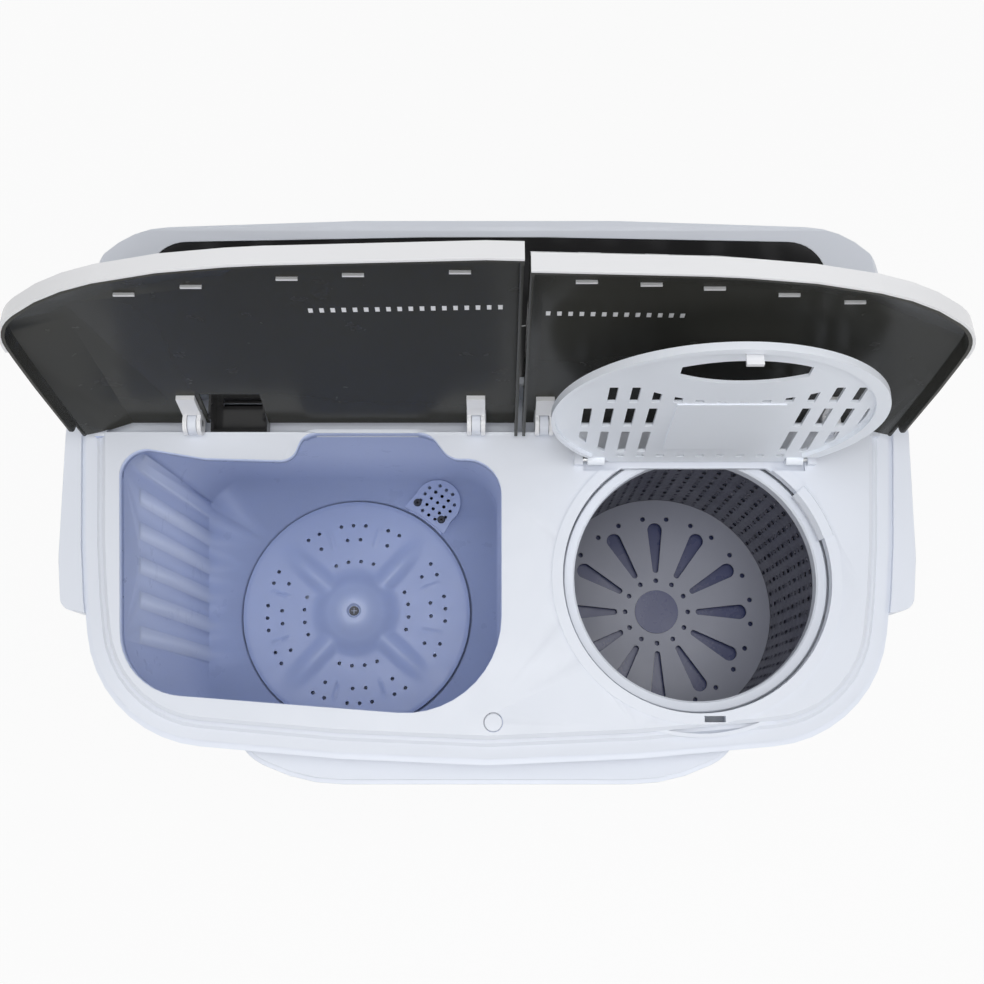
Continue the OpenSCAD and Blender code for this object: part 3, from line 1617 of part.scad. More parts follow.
spin_lid_pins();
inner_cover();
cover_latch();
cover_pins();
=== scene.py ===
"""Looks of the twin tub washing machine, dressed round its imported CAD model. Metres, Z up."""

import json
import math

import bmesh
import bpy
from mathutils import Matrix, Vector


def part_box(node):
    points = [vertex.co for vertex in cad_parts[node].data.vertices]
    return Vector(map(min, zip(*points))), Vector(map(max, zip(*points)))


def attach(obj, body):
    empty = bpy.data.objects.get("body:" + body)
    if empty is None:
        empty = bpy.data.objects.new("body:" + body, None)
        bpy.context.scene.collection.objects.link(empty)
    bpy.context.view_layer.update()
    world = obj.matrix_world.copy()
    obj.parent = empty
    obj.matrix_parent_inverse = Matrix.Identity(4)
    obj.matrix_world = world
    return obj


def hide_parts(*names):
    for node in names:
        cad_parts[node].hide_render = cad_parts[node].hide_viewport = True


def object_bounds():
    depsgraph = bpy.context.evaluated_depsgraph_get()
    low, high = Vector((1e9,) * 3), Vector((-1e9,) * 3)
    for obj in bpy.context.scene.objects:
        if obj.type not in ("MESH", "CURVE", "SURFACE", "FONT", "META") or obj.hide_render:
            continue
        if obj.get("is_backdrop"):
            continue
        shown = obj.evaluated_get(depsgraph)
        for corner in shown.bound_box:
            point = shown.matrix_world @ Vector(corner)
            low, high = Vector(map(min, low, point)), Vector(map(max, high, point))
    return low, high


MM = 0.001

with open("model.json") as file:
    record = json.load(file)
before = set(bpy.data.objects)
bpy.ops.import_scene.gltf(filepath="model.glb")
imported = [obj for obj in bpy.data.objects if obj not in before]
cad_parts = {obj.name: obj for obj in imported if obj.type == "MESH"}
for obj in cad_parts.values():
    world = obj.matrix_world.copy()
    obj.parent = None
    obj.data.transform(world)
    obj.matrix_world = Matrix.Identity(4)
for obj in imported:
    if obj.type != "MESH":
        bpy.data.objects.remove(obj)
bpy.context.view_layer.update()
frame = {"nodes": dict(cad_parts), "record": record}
nodes = frame["nodes"]
behaviour = frame["record"]["behaviour"]
body_of_node = {n: body for body, members in behaviour["bodies"].items() for n in members}
slot_of_node = {s["node"]: s["material_slot"] for s in frame["record"]["subparts"]}
joint = {j["name"]: j for j in behaviour["joints"]}


# Finishes

def shader_tree(name):
    """A new material with its tree and its shader."""
    material = bpy.data.materials.new(name)
    material.use_nodes = True
    tree = material.node_tree
    shader = tree.nodes["Principled BSDF"]
    return material, tree, shader


def noise(tree, scale, detail=3.0, roughness=0.5, stretch=(1, 1, 1)):
    """Noise on the piece's own place, so it stays put when a body moves."""
    place = tree.nodes.new("ShaderNodeTexCoord")
    mapping = tree.nodes.new("ShaderNodeMapping")
    mapping.inputs["Scale"].default_value = stretch
    pattern = tree.nodes.new("ShaderNodeTexNoise")
    pattern.inputs["Scale"].default_value = scale
    pattern.inputs["Detail"].default_value = detail
    pattern.inputs["Roughness"].default_value = roughness
    tree.links.new(place.outputs["Object"], mapping.inputs["Vector"])
    tree.links.new(mapping.outputs["Vector"], pattern.inputs["Vector"])
    return pattern.outputs["Fac"]


def ramp(tree, value, low, high, start=0.3, end=0.7):
    """Maps a 0 to 1 pattern to a range, as a number or as a colour."""
    node = tree.nodes.new("ShaderNodeValToRGB")
    spots = node.color_ramp.elements
    spots[0].position, spots[1].position = start, end
    if isinstance(low, (int, float)):
        low, high = (low,) * 3, (high,) * 3
    spots[0].color = (*low, 1)
    spots[1].color = (*high, 1)
    tree.links.new(value, node.inputs["Fac"])
    return node.outputs["Color"]


def bump(tree, height, strength, distance, under=None):
    """Tilts the shading with a pattern, on top of another bump if one is given."""
    node = tree.nodes.new("ShaderNodeBump")
    node.inputs["Strength"].default_value = strength
    node.inputs["Distance"].default_value = distance
    tree.links.new(height, node.inputs["Height"])
    if under is not None:
        tree.links.new(under, node.inputs["Normal"])
    return node.outputs["Normal"]


def plastic(name, colour, rough, gloss=0.5, grain=0.06, ripple=0.04, drift=0.03):
    """Moulded plastic: a faint drift of shade, uneven gloss, fine mould grain and slow ripples."""
    material, tree, shader = shader_tree(name)
    dark = tuple(c * (1 - drift) for c in colour)
    light = tuple(min(1.0, c * (1 + drift * 0.5)) for c in colour)
    tree.links.new(ramp(tree, noise(tree, 5.0), dark, light), shader.inputs["Base Color"])
    shine = noise(tree, 38.0, 4.0, 0.6)
    tree.links.new(ramp(tree, shine, rough * 0.86, rough * 1.16), shader.inputs["Roughness"])
    slow = bump(tree, noise(tree, 9.0, 1.0), ripple, 2 * MM)
    fine = bump(tree, noise(tree, 900.0, 2.0), grain, 0.05 * MM, slow)
    tree.links.new(fine, shader.inputs["Normal"])
    shader.inputs["Specular IOR Level"].default_value = gloss
    return material


def metal(name, colour, rough, brushed=(1, 1, 1), strength=0.12):
    """Bare metal with fine brushing or turning marks and a little tarnish."""
    material, tree, shader = shader_tree(name)
    shader.inputs["Metallic"].default_value = 1.0
    dark = tuple(c * 0.82 for c in colour)
    tree.links.new(ramp(tree, noise(tree, 60.0), dark, colour), shader.inputs["Base Color"])
    marks = noise(tree, 700.0, 4.0, 0.7, brushed)
    tree.links.new(ramp(tree, marks, rough * 0.7, rough * 1.4), shader.inputs["Roughness"])
    tree.links.new(bump(tree, marks, strength, 0.05 * MM), shader.inputs["Normal"])
    return material


def rubber(name, colour):
    """Matt rubber with a rough skin."""
    material, tree, shader = shader_tree(name)
    light = tuple(c * 1.8 for c in colour)
    tree.links.new(ramp(tree, noise(tree, 45.0, 5.0), colour, light), shader.inputs["Base Color"])
    tree.links.new(ramp(tree, noise(tree, 120.0), 0.6, 0.85), shader.inputs["Roughness"])
    tree.links.new(bump(tree, noise(tree, 1500.0, 3.0), 0.25, 0.1 * MM), shader.inputs["Normal"])
    return material


def smoked_plastic(name, colour, rough, gloss, alpha):
    """Glossy smoked plastic that lets a little of what lies behind show through."""
    material = plastic(name, colour, rough, gloss, 0.0, 0.03)
    shader = material.node_tree.nodes["Principled BSDF"]
    shader.inputs["Alpha"].default_value = alpha
    return material


def painted_light_by_height(material, painted_light_colour, low, high):
    """Paints light into a plastic: its colour turns slowly to a second, lighter colour between two
    heights, as painted light.
    """
    tree = material.node_tree
    socket = tree.nodes["Principled BSDF"].inputs["Base Color"]
    first_shade = socket.links[0].from_socket
    place = tree.nodes.new("ShaderNodeTexCoord")
    parts = tree.nodes.new("ShaderNodeSeparateXYZ")
    tree.links.new(place.outputs["Object"], parts.inputs[0])
    height = tree.nodes.new("ShaderNodeMapRange")
    height.inputs["From Min"].default_value = low
    height.inputs["From Max"].default_value = high
    tree.links.new(parts.outputs["Z"], height.inputs["Value"])
    mix = tree.nodes.new("ShaderNodeMix")
    mix.data_type = "RGBA"
    shades = {each.name: each for each in mix.inputs if each.type == "RGBA"}
    tree.links.new(height.outputs["Result"], mix.inputs[0])
    tree.links.new(first_shade, shades["A"])
    shades["B"].default_value = (*painted_light_colour, 1.0)
    mixed = next(each for each in mix.outputs if each.type == "RGBA")
    tree.links.new(mixed, socket)


white_body = plastic("white_moulding", (0.765, 0.80, 0.875), 0.34, 0.4)
white_trim_gloss = plastic("white_gloss_trim", (0.86, 0.865, 0.885), 0.2, 0.45, 0.02)
tub_blue = plastic("lavender_tub", (0.48, 0.56, 0.80), 0.3, 0.4, 0.04, 0.05, drift=0.04)
pulsator_blue = plastic("lavender_pulsator", (0.45, 0.53, 0.77), 0.36, 0.4, 0.08, drift=0.03)
lid_smoke = smoked_plastic("smoked_lid", (0.045, 0.045, 0.040), 0.24, 0.16, 0.94)
panel_black = plastic("black_panel", (0.018, 0.018, 0.019), 0.12, 0.4, 0.0, 0.02)
basket_white = plastic("basket_white", (0.60, 0.62, 0.67), 0.38, 0.4)
# The inner cover's white is painted lighter than the body's white, as painted light against the
# shade its slant gives it
lit_cover_white = plastic("lit_cover_white", (0.88, 0.92, 0.99), 0.36, 0.4)
floor_grey = plastic("basket_floor_grey", (0.44, 0.46, 0.55), 0.36, 0.4, 0.08)
wall_grey = metal("basket_wall_grey", (0.26, 0.26, 0.30), 0.36, (1, 1, 6), 0.1)
cap_blue = plastic("dark_blue_cap", (0.06, 0.075, 0.21), 0.28)
screw_dark = plastic("dark_blue_screw", (0.016, 0.020, 0.036), 0.35)
plain_grey = plastic("grey_moulding", (0.45, 0.46, 0.47), 0.5, 0.35, 0.15)
mark_white = plastic("dial_marks", (0.72, 0.73, 0.74), 0.5, 0.3, 0.0, 0.0)
black_rubber = rubber("black_rubber", (0.012, 0.012, 0.012))
bare_steel = metal("bare_steel", (0.55, 0.56, 0.57), 0.30)
screw_steel = metal("screw_steel", (0.42, 0.42, 0.42), 0.28)
cast_alloy = metal("cast_alloy", (0.62, 0.63, 0.64), 0.45, (1, 1, 1), 0.5)
motor_paint = plastic("motor_paint", (0.03, 0.033, 0.036), 0.42, 0.5, 0.3)

# Painted light: the tub's walls and the raised parts of the pulsator are painted lighter towards
# the top, where they would catch more light than at their foot
painted_light_by_height(tub_blue, (0.58, 0.65, 0.86), 470 * MM, 580 * MM)
painted_light_by_height(pulsator_blue, (0.62, 0.70, 0.91), 475.5 * MM, 490 * MM)

slot_finish = {
    "white_shell": white_body,
    "white_trim": white_trim_gloss,
    "tub_blue": tub_blue,
    "lid_smoke": lid_smoke,
    "panel_black": panel_black,
    "basket_white": basket_white,
    "cap_blue": cap_blue,
    "steel": bare_steel,
    "stainless": screw_steel,
    "motor_paint": motor_paint,
    "light_alloy": cast_alloy,
    "grey_plastic": plain_grey,
    "rubber": black_rubber,
}
# Nodes that look different from the rest of their material slot
own_finish = {
    "pulsator": pulsator_blue,
    "basket_floor": floor_grey,
    "basket_rim": white_body,
    "rinse_spout": white_body,
    "screw_plug": white_body,
    # The inner cover takes a lighter copy of the body's white, as painted light
    "inner_cover": lit_cover_white,
}


def finish_of(name):
    return own_finish.get(name, slot_finish[slot_of_node[name]])


def dress(piece, material):
    piece.data.materials.clear()
    piece.data.materials.append(material)


for name, node in nodes.items():
    dress(node, finish_of(name))


def carried(piece, body, slot, *stands_for):
    """Lets a piece ride on its body and hides the CAD nodes it stands for; the material slot
    argument is not used.
    """
    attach(piece, body)
    if stands_for:
        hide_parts(*stands_for)
    return piece


# Moulded edges: each listed solid is stood for by a copy with its sharp edges rounded

SAME_POINT = 0.002 * MM
FLAT_ANGLE = math.radians(0.6)


def merged(name):
    """A CAD node's mesh as one connected shape, with its flat faces joined up."""
    shape = bmesh.new()
    shape.from_mesh(nodes[name].data)
    bmesh.ops.remove_doubles(shape, verts=shape.verts, dist=SAME_POINT)
    bmesh.ops.dissolve_limit(shape, angle_limit=FLAT_ANGLE, verts=shape.verts, edges=shape.edges)
    return shape


def new_piece(name, mesh):
    piece = bpy.data.objects.new(name, mesh)
    bpy.context.collection.objects.link(piece)
    return piece


def smooth_by_angle(mesh, degrees):
    mesh.shade_smooth()
    mesh.set_sharp_from_angle(angle=math.radians(degrees))


def moulding(name, shape, sharp):
    """A piece of its own in the place of a CAD node, made from the given shape."""
    mesh = nodes[name].data.copy()
    shape.to_mesh(mesh)
    shape.free()
    piece = new_piece(f"{name}_moulding", mesh)
    smooth_by_angle(mesh, sharp)
    dress(piece, finish_of(name))
    return carried(piece, body_of_node[name], slot_of_node[name], name)


def softened(name, width, segments=2, sharp=32.0):
    """A copy of a CAD node with its sharp edges rounded to the given width in millimetres."""
    piece = moulding(name, merged(name), sharp)
    edges = piece.modifiers.new("edges", "BEVEL")
    edges.width = width * MM
    edges.segments = segments
    edges.limit_method = "ANGLE"
    edges.angle_limit = math.radians(sharp)
    edges.harden_normals = True
    edges.use_clamp_overlap = True


edge_widths = {
    "top_frame": 0.8,
    "side_grips": 1.5,
    "console_housing": 1.2,
    "cabinet_shell": 1.0,
    "wash_lid": 0.5,
    "spin_lid": 0.5,
    "wash_lid_trim": 0.5,
    "spin_lid_trim": 0.5,
    "wash_lid_arms": 0.6,
    "spin_lid_arms": 0.6,
    "inner_cover": 0.6,
    "wash_timer_knob": 1.0,
    "selector_knob": 1.0,
    "spin_timer_knob": 1.0,
}
for name, width in edge_widths.items():
    softened(name, width)


def evened(name, gap=0.3, flat=1.0, sharp=24.0):
    """A copy of a CAD node without its slivers, which would show as dark scratches."""
    shape = bmesh.new()
    shape.from_mesh(nodes[name].data)
    bmesh.ops.remove_doubles(shape, verts=shape.verts, dist=gap * MM)
    bmesh.ops.dissolve_degenerate(shape, dist=gap * MM, edges=shape.edges)
    bmesh.ops.dissolve_limit(
        shape, angle_limit=math.radians(flat), verts=shape.verts, edges=shape.edges
    )
    bmesh.ops.triangulate(shape, faces=shape.faces)
    moulding(name, shape, sharp)


evened("wash_tub")


# Geometry Nodes recipes

class Recipe:
    """A Geometry Nodes tree written step by step, with its sizes as named inputs."""

    def __init__(self, name, sizes, shape_goes_in=False):
        self.tree = bpy.data.node_groups.new(name, "GeometryNodeTree")
        sockets = self.tree.interface
        sockets.new_socket("Shape", in_out="OUTPUT", socket_type="NodeSocketGeometry")
        if shape_goes_in:
            sockets.new_socket("Shape", in_out="INPUT", socket_type="NodeSocketGeometry")
        self.sizes = sizes
        self.identifier = {}
        for label, size in sizes.items():
            kind = "NodeSocketInt" if isinstance(size, int) else "NodeSocketFloat"
            socket = sockets.new_socket(label, in_out="INPUT", socket_type=kind)
            self.identifier[label] = socket.identifier
        self.given = self.tree.nodes.new("NodeGroupInput").outputs

    def step(self, kind, inputs=None, **settings):
        """Adds a node; inputs are linked where they are sockets and set where they are values."""
        node = self.tree.nodes.new(kind)
        for key, value in settings.items():
            setattr(node, key, value)
        for key, value in (inputs or {}).items():
            for one in value if isinstance(value, list) else [value]:
                if isinstance(one, bpy.types.NodeSocket):
                    self.tree.links.new(one, node.inputs[key])
                else:
                    node.inputs[key].default_value = one
        return node

    def math(self, operation, *values):
        """One sum or function of sockets and numbers."""
        return self.step("ShaderNodeMath", dict(enumerate(values)), operation=operation).outputs[0]

    def plus(self, *values):
        return self.math("ADD", *values)

    def minus(self, *values):
        return self.math("SUBTRACT", *values)

    def times(self, *values):
        return self.math("MULTIPLY", *values)

    def vector(self, **parts):
        """A vector from its x, y and z, each 0 where it isn't given."""
        sockets = {"xyz".index(axis): value for axis, value in parts.items()}
        return self.step("ShaderNodeCombineXYZ", sockets).outputs[0]

    def rotation(self, **turns):
        """A rotation from its turns about x, y and z."""
        return self.step("FunctionNodeEulerToRotation", {0: self.vector(**turns)}).outputs[0]

    def fade(self, value, start, end, low=1.0, high=0.0):
        """Goes smoothly from low at start to high at end."""
        return self.step(
            "ShaderNodeMapRange",
            {"Value": value, "From Min": start, "From Max": end, "To Min": low, "To Max": high},
            interpolation_type="SMOOTHSTEP",
        ).outputs["Result"]

    def place(self):
        """X, Y and Z of each point."""
        position = self.step("GeometryNodeInputPosition").outputs[0]
        return self.step("ShaderNodeSeparateXYZ", {0: position}).outputs

    def moved(self, shape, x, y, z, only=None):
        """Each point at its new place."""
        inputs = {"Geometry": shape, "Position": self.vector(x=x, y=y, z=z)}
        if only is not None:
            inputs["Selection"] = only
        return self.step("GeometryNodeSetPosition", inputs).outputs[0]

    def on_circle(self, shape, radius, angle, height):
        """Each point at its radius, angle and height."""
        x = self.times(radius, self.math("COSINE", angle))
        y = self.times(radius, self.math("SINE", angle))
        return self.moved(shape, x, y, height)

    def make(self, name, shape, material, start=None, place=None):
        """Ends the tree, runs it and gives the result as a plain piece."""
        whole = self.step("GeometryNodeRealizeInstances", {0: shape}).outputs[0]
        painted = self.step(
            "GeometryNodeSetMaterial", {"Geometry": whole, "Material": material}
        ).outputs[0]
        out = self.tree.nodes.new("NodeGroupOutput")
        self.tree.links.new(painted, out.inputs[0])
        mesh = start or bpy.data.meshes.new(f"{name}_start")
        piece = new_piece(name, mesh)
        recipe = piece.modifiers.new("recipe", "NODES")
        recipe.node_group = self.tree
        for label, socket in self.identifier.items():
            recipe[socket] = self.sizes[label]
        bpy.context.view_layer.update()
        depsgraph = bpy.context.evaluated_depsgraph_get()
        made = bpy.data.meshes.new_from_object(piece.evaluated_get(depsgraph))
        piece.modifiers.remove(recipe)
        if place is not None:
            made.transform(place)
        piece.data = made
        return piece


# Pulsator: a low disc whose soft hub and four vanes follow one height rule

QUARTER = math.pi / 2

# Holes of one quarter between two vanes: ring radius, first and last angle, number of holes
HOLE_ROWS = (
    (92, -8, 8, 3), (92, 23, 31, 2), (92, -31, -23, 2),
    (77, -26.5, 26.5, 2), (77, -5, 5, 2), (54, -21, 21, 4),
)


def pulsator_rise(recipe, radius, turn):
    """How far the top stands over the flat of the disc, at a radius and an angle."""
    size = recipe.given
    hub = recipe.fade(radius, size["Hub cap radius"], size["Hub foot radius"])
    hub = recipe.times(recipe.math("POWER", hub, size["Hub curve"]), size["Hub height"])

    off_vane = recipe.minus(turn, size["Vane turn"])
    off_vane = recipe.math("WRAP", off_vane, QUARTER / 2, -QUARTER / 2)
    aside = recipe.times(radius, recipe.math("ABSOLUTE", recipe.math("SINE", off_vane)))
    crest = recipe.fade(aside, 0.0, size["Vane half width"])
    ends = recipe.fade(radius, size["Vane fade start"], size["Vane reach"])
    vane = recipe.times(recipe.times(crest, ends), size["Vane height"])
    rise = recipe.math("SMOOTH_MAX", hub, vane, size["Blend"])

    # Pairs of faint ribs stand between the vanes, one to each side of the hole rows
    off_rows = recipe.plus(off_vane, QUARTER / 2)
    off_rows = recipe.math("WRAP", off_rows, QUARTER / 2, -QUARTER / 2)
    off_rib = recipe.minus(recipe.math("ABSOLUTE", off_rows), size["Rib turn"])
    beside = recipe.times(radius, recipe.math("ABSOLUTE", recipe.math("SINE", off_rib)))
    rib = recipe.fade(beside, 0.0, size["Rib half width"])
    off_ring = recipe.math("ABSOLUTE", recipe.minus(radius, size["Rib ring radius"]))
    rib = recipe.times(rib, recipe.fade(off_ring, size["Rib fade start"], size["Rib reach"]))
    rise = recipe.plus(rise, recipe.times(rib, size["Rib height"]))
    rise = recipe.minus(rise, size["Top sink"])

    near_screw = recipe.math("LESS_THAN", radius, size["Screw recess radius"])
    recess = recipe.times(near_screw, size["Screw recess depth"])
    rim_start = recipe.minus(size["Disc radius"], size["Edge rounding"])
    rim = recipe.fade(radius, rim_start, size["Disc radius"], 0.0, size["Rim drop"])
    return recipe.minus(rise, recipe.plus(recess, rim))


def pulsator_drills(recipe):
    """A drill at every hole of the four quarters."""
    size = recipe.given
    rows = []
    for ring, first, last, count in HOLE_ROWS:
        step = math.radians(last - first) / (count - 1)
        rows.append(recipe.step("GeometryNodeMeshLine", {
            "Count": count,
            "Start Location": (ring * MM, math.radians(first), 0),
            "Offset": (0, step, 0),
        }).outputs[0])
    marks = recipe.step("GeometryNodeJoinGeometry", {0: rows}).outputs[0]
    marks = recipe.step("GeometryNodeMeshToPoints", {"Mesh": marks}).outputs[0]
    copies = recipe.step(
        "GeometryNodeDuplicateElements", {"Geometry": marks, "Amount": 4}, domain="POINT"
    )
    spot = recipe.place()
    angle = recipe.plus(spot["Y"], recipe.times(copies.outputs[1], QUARTER))
    angle = recipe.plus(angle, recipe.minus(size["Vane turn"], QUARTER / 2))
    places = recipe.on_circle(copies.outputs[0], spot["X"], angle, 0.0)
    drill = recipe.step("GeometryNodeMeshCylinder", {
        "Vertices": 12, "Radius": size["Hole radius"], "Depth": size["Drill length"],
    }).outputs["Mesh"]
    drills = recipe.step("GeometryNodeInstanceOnPoints", {"Points": places, "Instance": drill})
    return recipe.step("GeometryNodeRealizeInstances", {0: drills.outputs[0]}).outputs[0]


def pulsator_piece():
    low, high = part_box("pulsator")
    axis = Vector(joint["pulsator_spin"]["pos_m"])
    disc_thickness = 6 * MM
    recipe = Recipe("pulsator_shape", {
        "Disc radius": (high.x - low.x) / 2,
        "Disc thickness": disc_thickness,
        "Edge rounding": 2.5 * MM,
        "Rim drop": 1.2 * MM,
        "Top sink": 0.1 * MM,
        "Hub height": high.z - low.z - disc_thickness,
        "Hub foot radius": 50 * MM,
        "Hub cap radius": 11 * MM,
        "Hub curve": 1.35,
        "Vane height": 6.5 * MM,
        "Vane half width": 15 * MM,
        "Vane fade start": 60 * MM,
        "Vane reach": 110 * MM,
        "Vane turn": math.radians(48),
        "Blend": 4 * MM,
        "Rib height": 0.9 * MM,
        "Rib half width": 2.2 * MM,
        "Rib turn": math.radians(17),
        "Rib ring radius": 81 * MM,
        "Rib fade start": 7 * MM,
        "Rib reach": 12 * MM,
        "Screw recess radius": 6.5 * MM,
        "Screw recess depth": 3.5 * MM,
        "Hole radius": 2 * MM,
        "Drill length": 40 * MM,
        "Rings": 132,
        "Spokes": 256,
    })
    size = recipe.given
    # The outline runs out over the top, down the edge and back under the disc
    path = recipe.plus(recipe.times(size["Disc radius"], 2.0), size["Disc thickness"])
    grid = recipe.step("GeometryNodeMeshGrid", {
        "Size X": path, "Size Y": 2 * math.pi,
        "Vertices X": size["Rings"], "Vertices Y": size["Spokes"],
    }).outputs["Mesh"]
    at = recipe.place()
    run = recipe.plus(at["X"], recipe.times(path, 0.5))
    turn = at["Y"]
    past_edge = recipe.minus(run, size["Disc radius"])
    down = recipe.math("MAXIMUM", past_edge, 0.0)
    drop = recipe.math("MINIMUM", down, size["Disc thickness"])
    back = recipe.math("MAXIMUM", recipe.minus(past_edge, size["Disc thickness"]), 0.0)
    radius = recipe.minus(recipe.math("MINIMUM", run, size["Disc radius"]), back)
    on_top = recipe.math("LESS_THAN", past_edge, 0.01 * MM)
    rise = pulsator_rise(recipe, radius, turn)
    height = recipe.minus(recipe.times(rise, on_top), drop)
    disc = recipe.on_circle(grid, radius, turn, height)
    disc = recipe.step(
        "GeometryNodeMergeByDistance", {"Geometry": disc, "Distance": 0.01 * MM}
    ).outputs[0]
    drilled = recipe.step(
        "GeometryNodeMeshBoolean", {0: disc, 1: pulsator_drills(recipe)}, operation="DIFFERENCE"
    ).outputs[0]
    foot = Matrix.Translation((axis.x, axis.y, low.z + disc_thickness))
    piece = recipe.make("pulsator_disc", drilled, pulsator_blue, place=foot)
    smooth_by_angle(piece.data, 42)
    return carried(piece, "pulsator", "tub_blue", "pulsator")


pulsator_piece()


# Basket wall: a sheet of slots in staggered columns, rolled into a ring

def basket_wall_piece():
    low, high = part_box("basket_wall_ring")
    axis = Vector(joint["basket_spin"]["pos_m"])
    sheet = 1.6 * MM
    recipe = Recipe("basket_wall_slots", {
        "Radius": (high.x - low.x) / 2 - sheet,
        "Wall height": high.z - low.z,
        "Columns": 64,
        "Rows": 17,
        "Slot width": 0.40,
        "Slot height": 0.56,
        "Stagger": 0.19,
        "Stagger per column": 2.4,
        "Stagger per row": 1.7,
        "Lip": 0.9 * MM,
        "Plain rows": 1,
    })
    size = recipe.given
    grid = recipe.step("GeometryNodeMeshGrid", {
        "Size X": 2 * math.pi, "Size Y": size["Wall height"],
        "Vertices X": recipe.plus(size["Columns"], 1.0),
        "Vertices Y": recipe.plus(size["Rows"], 1.0),
    }).outputs["Mesh"]
    cut = recipe.step(
        "GeometryNodeExtrudeMesh", {"Mesh": grid, "Offset Scale": 0.0, "Individual": True}
    )
    slots = cut.outputs["Mesh"]
    slot_face = cut.outputs["Top"]
    for axis_way, share in (((1, 0, 0), size["Slot width"]), ((0, 1, 0), size["Slot height"])):
        slots = recipe.step("GeometryNodeScaleElements", {
            "Geometry": slots, "Selection": slot_face, "Scale": share, "Axis": axis_way,
        }, domain="FACE", scale_mode="SINGLE_AXIS").outputs[0]
    at = recipe.place()
    pitch = recipe.math("DIVIDE", 2 * math.pi, size["Columns"])
    row_pitch = recipe.math("DIVIDE", size["Wall height"], size["Rows"])
    column = recipe.math("DIVIDE", recipe.plus(at["X"], math.pi), pitch)
    column = recipe.math("FLOOR", column)
    row = recipe.math("DIVIDE", recipe.plus(at["Y"], size["Wall height"]), row_pitch)
    row = recipe.math("FLOOR", row)
    # Each slot stands a little higher or lower than its neighbours
    wave = recipe.plus(recipe.times(column, size["Stagger per column"]),
                       recipe.times(row, size["Stagger per row"]))
    side = recipe.math("SINE", wave)
    shift = recipe.times(recipe.times(side, size["Stagger"]), row_pitch)
    slots = recipe.moved(
        slots, at["X"], recipe.plus(at["Y"], shift), recipe.times(size["Lip"], -1.0), slot_face
    )
    edge = recipe.minus(recipe.times(size["Wall height"], 0.5),
                        recipe.times(row_pitch, size["Plain rows"]))
    inside = recipe.math("LESS_THAN", recipe.math("ABSOLUTE", at["Y"]), edge)
    open_slot = recipe.step(
        "FunctionNodeBooleanMath", {0: slot_face, 1: inside}, operation="AND"
    ).outputs[0]
    slots = recipe.step(
        "GeometryNodeDeleteGeometry", {"Geometry": slots, "Selection": open_slot}, domain="FACE"
    ).outputs[0]
    slots = recipe.step("GeometryNodeSubdivisionSurface", {"Mesh": slots, "Level": 1}).outputs[0]
    flat = recipe.place()
    radius = recipe.plus(size["Radius"], flat["Z"])
    ring = recipe.on_circle(slots, radius, flat["X"], flat["Y"])
    ring = recipe.step(
        "GeometryNodeMergeByDistance", {"Geometry": ring, "Distance": 0.02 * MM}
    ).outputs[0]
    middle = Matrix.Translation((axis.x, axis.y, (low.z + high.z) / 2))
    piece = recipe.make("basket_wall_sheet", ring, wall_grey, place=middle)
    smooth_by_angle(piece.data, 60)
    thickness = piece.modifiers.new("thickness", "SOLIDIFY")
    thickness.thickness = sheet
    thickness.offset = 1.0
    return carried(piece, "basket", "stainless", "basket_wall_ring")


basket_wall_piece()


# Screws with a cross recess, standing where the CAD screws are

def loose_boxes(name):
    """The lowest and highest corner of each loose solid of a CAD node."""
    shape = merged(name)
    left = set(shape.verts)
    boxes = []
    while left:
        group = [left.pop()]
        for vertex in group:
            near = {edge.other_vert(vertex) for edge in vertex.link_edges} & left
            left -= near
            group.extend(near)
        corners = [[vertex.co[i] for vertex in group] for i in range(3)]
        boxes.append((Vector(map(min, corners)), Vector(map(max, corners))))
    shape.free()
    return boxes


HEAD_HEIGHT = 2.0 * MM


def screw_heads(name, places, tilt, head_r, material, body, node):
    """Screw heads on the given places, tilted about X so that they face outwards."""
    recipe = Recipe(f"{name}_shape", {
        "Head radius": head_r,
        "Head height": HEAD_HEIGHT,
        "Crown": 0.8,
        "Recess width": 0.9 * MM,
        "Recess depth": 1.3 * MM,
        "Tilt": tilt,
        "Turn": 0.6,
    }, shape_goes_in=True)
    size = recipe.given
    head = recipe.step("GeometryNodeMeshCone", {
        "Vertices": 28, "Side Segments": 2,
        "Radius Top": recipe.times(size["Head radius"], size["Crown"]),
        "Radius Bottom": size["Head radius"], "Depth": size["Head height"],
    }).outputs["Mesh"]
    arm = recipe.times(size["Head radius"], 1.1)
    deep = recipe.times(size["Recess depth"], 2.0)
    lift = recipe.vector(z=size["Head height"])
    cutters = []
    for x, y in ((arm, size["Recess width"]), (size["Recess width"], arm)):
        cube = recipe.step("GeometryNodeMeshCube", {"Size": recipe.vector(x=x, y=y, z=deep)})
        cutters.append(recipe.step(
            "GeometryNodeTransform", {"Geometry": cube.outputs["Mesh"], "Translation": lift}
        ).outputs[0])
    head = recipe.step(
        "GeometryNodeMeshBoolean", {0: head, 1: cutters}, operation="DIFFERENCE"
    ).outputs[0]
    # Each head is turned a little differently, as a screw stops where it is tight
    turn = recipe.times(recipe.step("GeometryNodeInputIndex").outputs[0], size["Turn"])
    facing = recipe.step(
        "FunctionNodeRotateRotation",
        {0: recipe.rotation(z=turn), 1: recipe.rotation(x=size["Tilt"])},
        rotation_space="GLOBAL",
    ).outputs[0]
    heads = recipe.step("GeometryNodeInstanceOnPoints", {
        "Points": size["Shape"], "Instance": head, "Rotation": facing,
    }).outputs[0]
    points = bpy.data.meshes.new(f"{name}_places")
    points.from_pydata(places, [], [])
    piece = recipe.make(name, heads, material, start=points)
    smooth_by_angle(piece.data, 40)
    return carried(piece, body, "stainless", node)


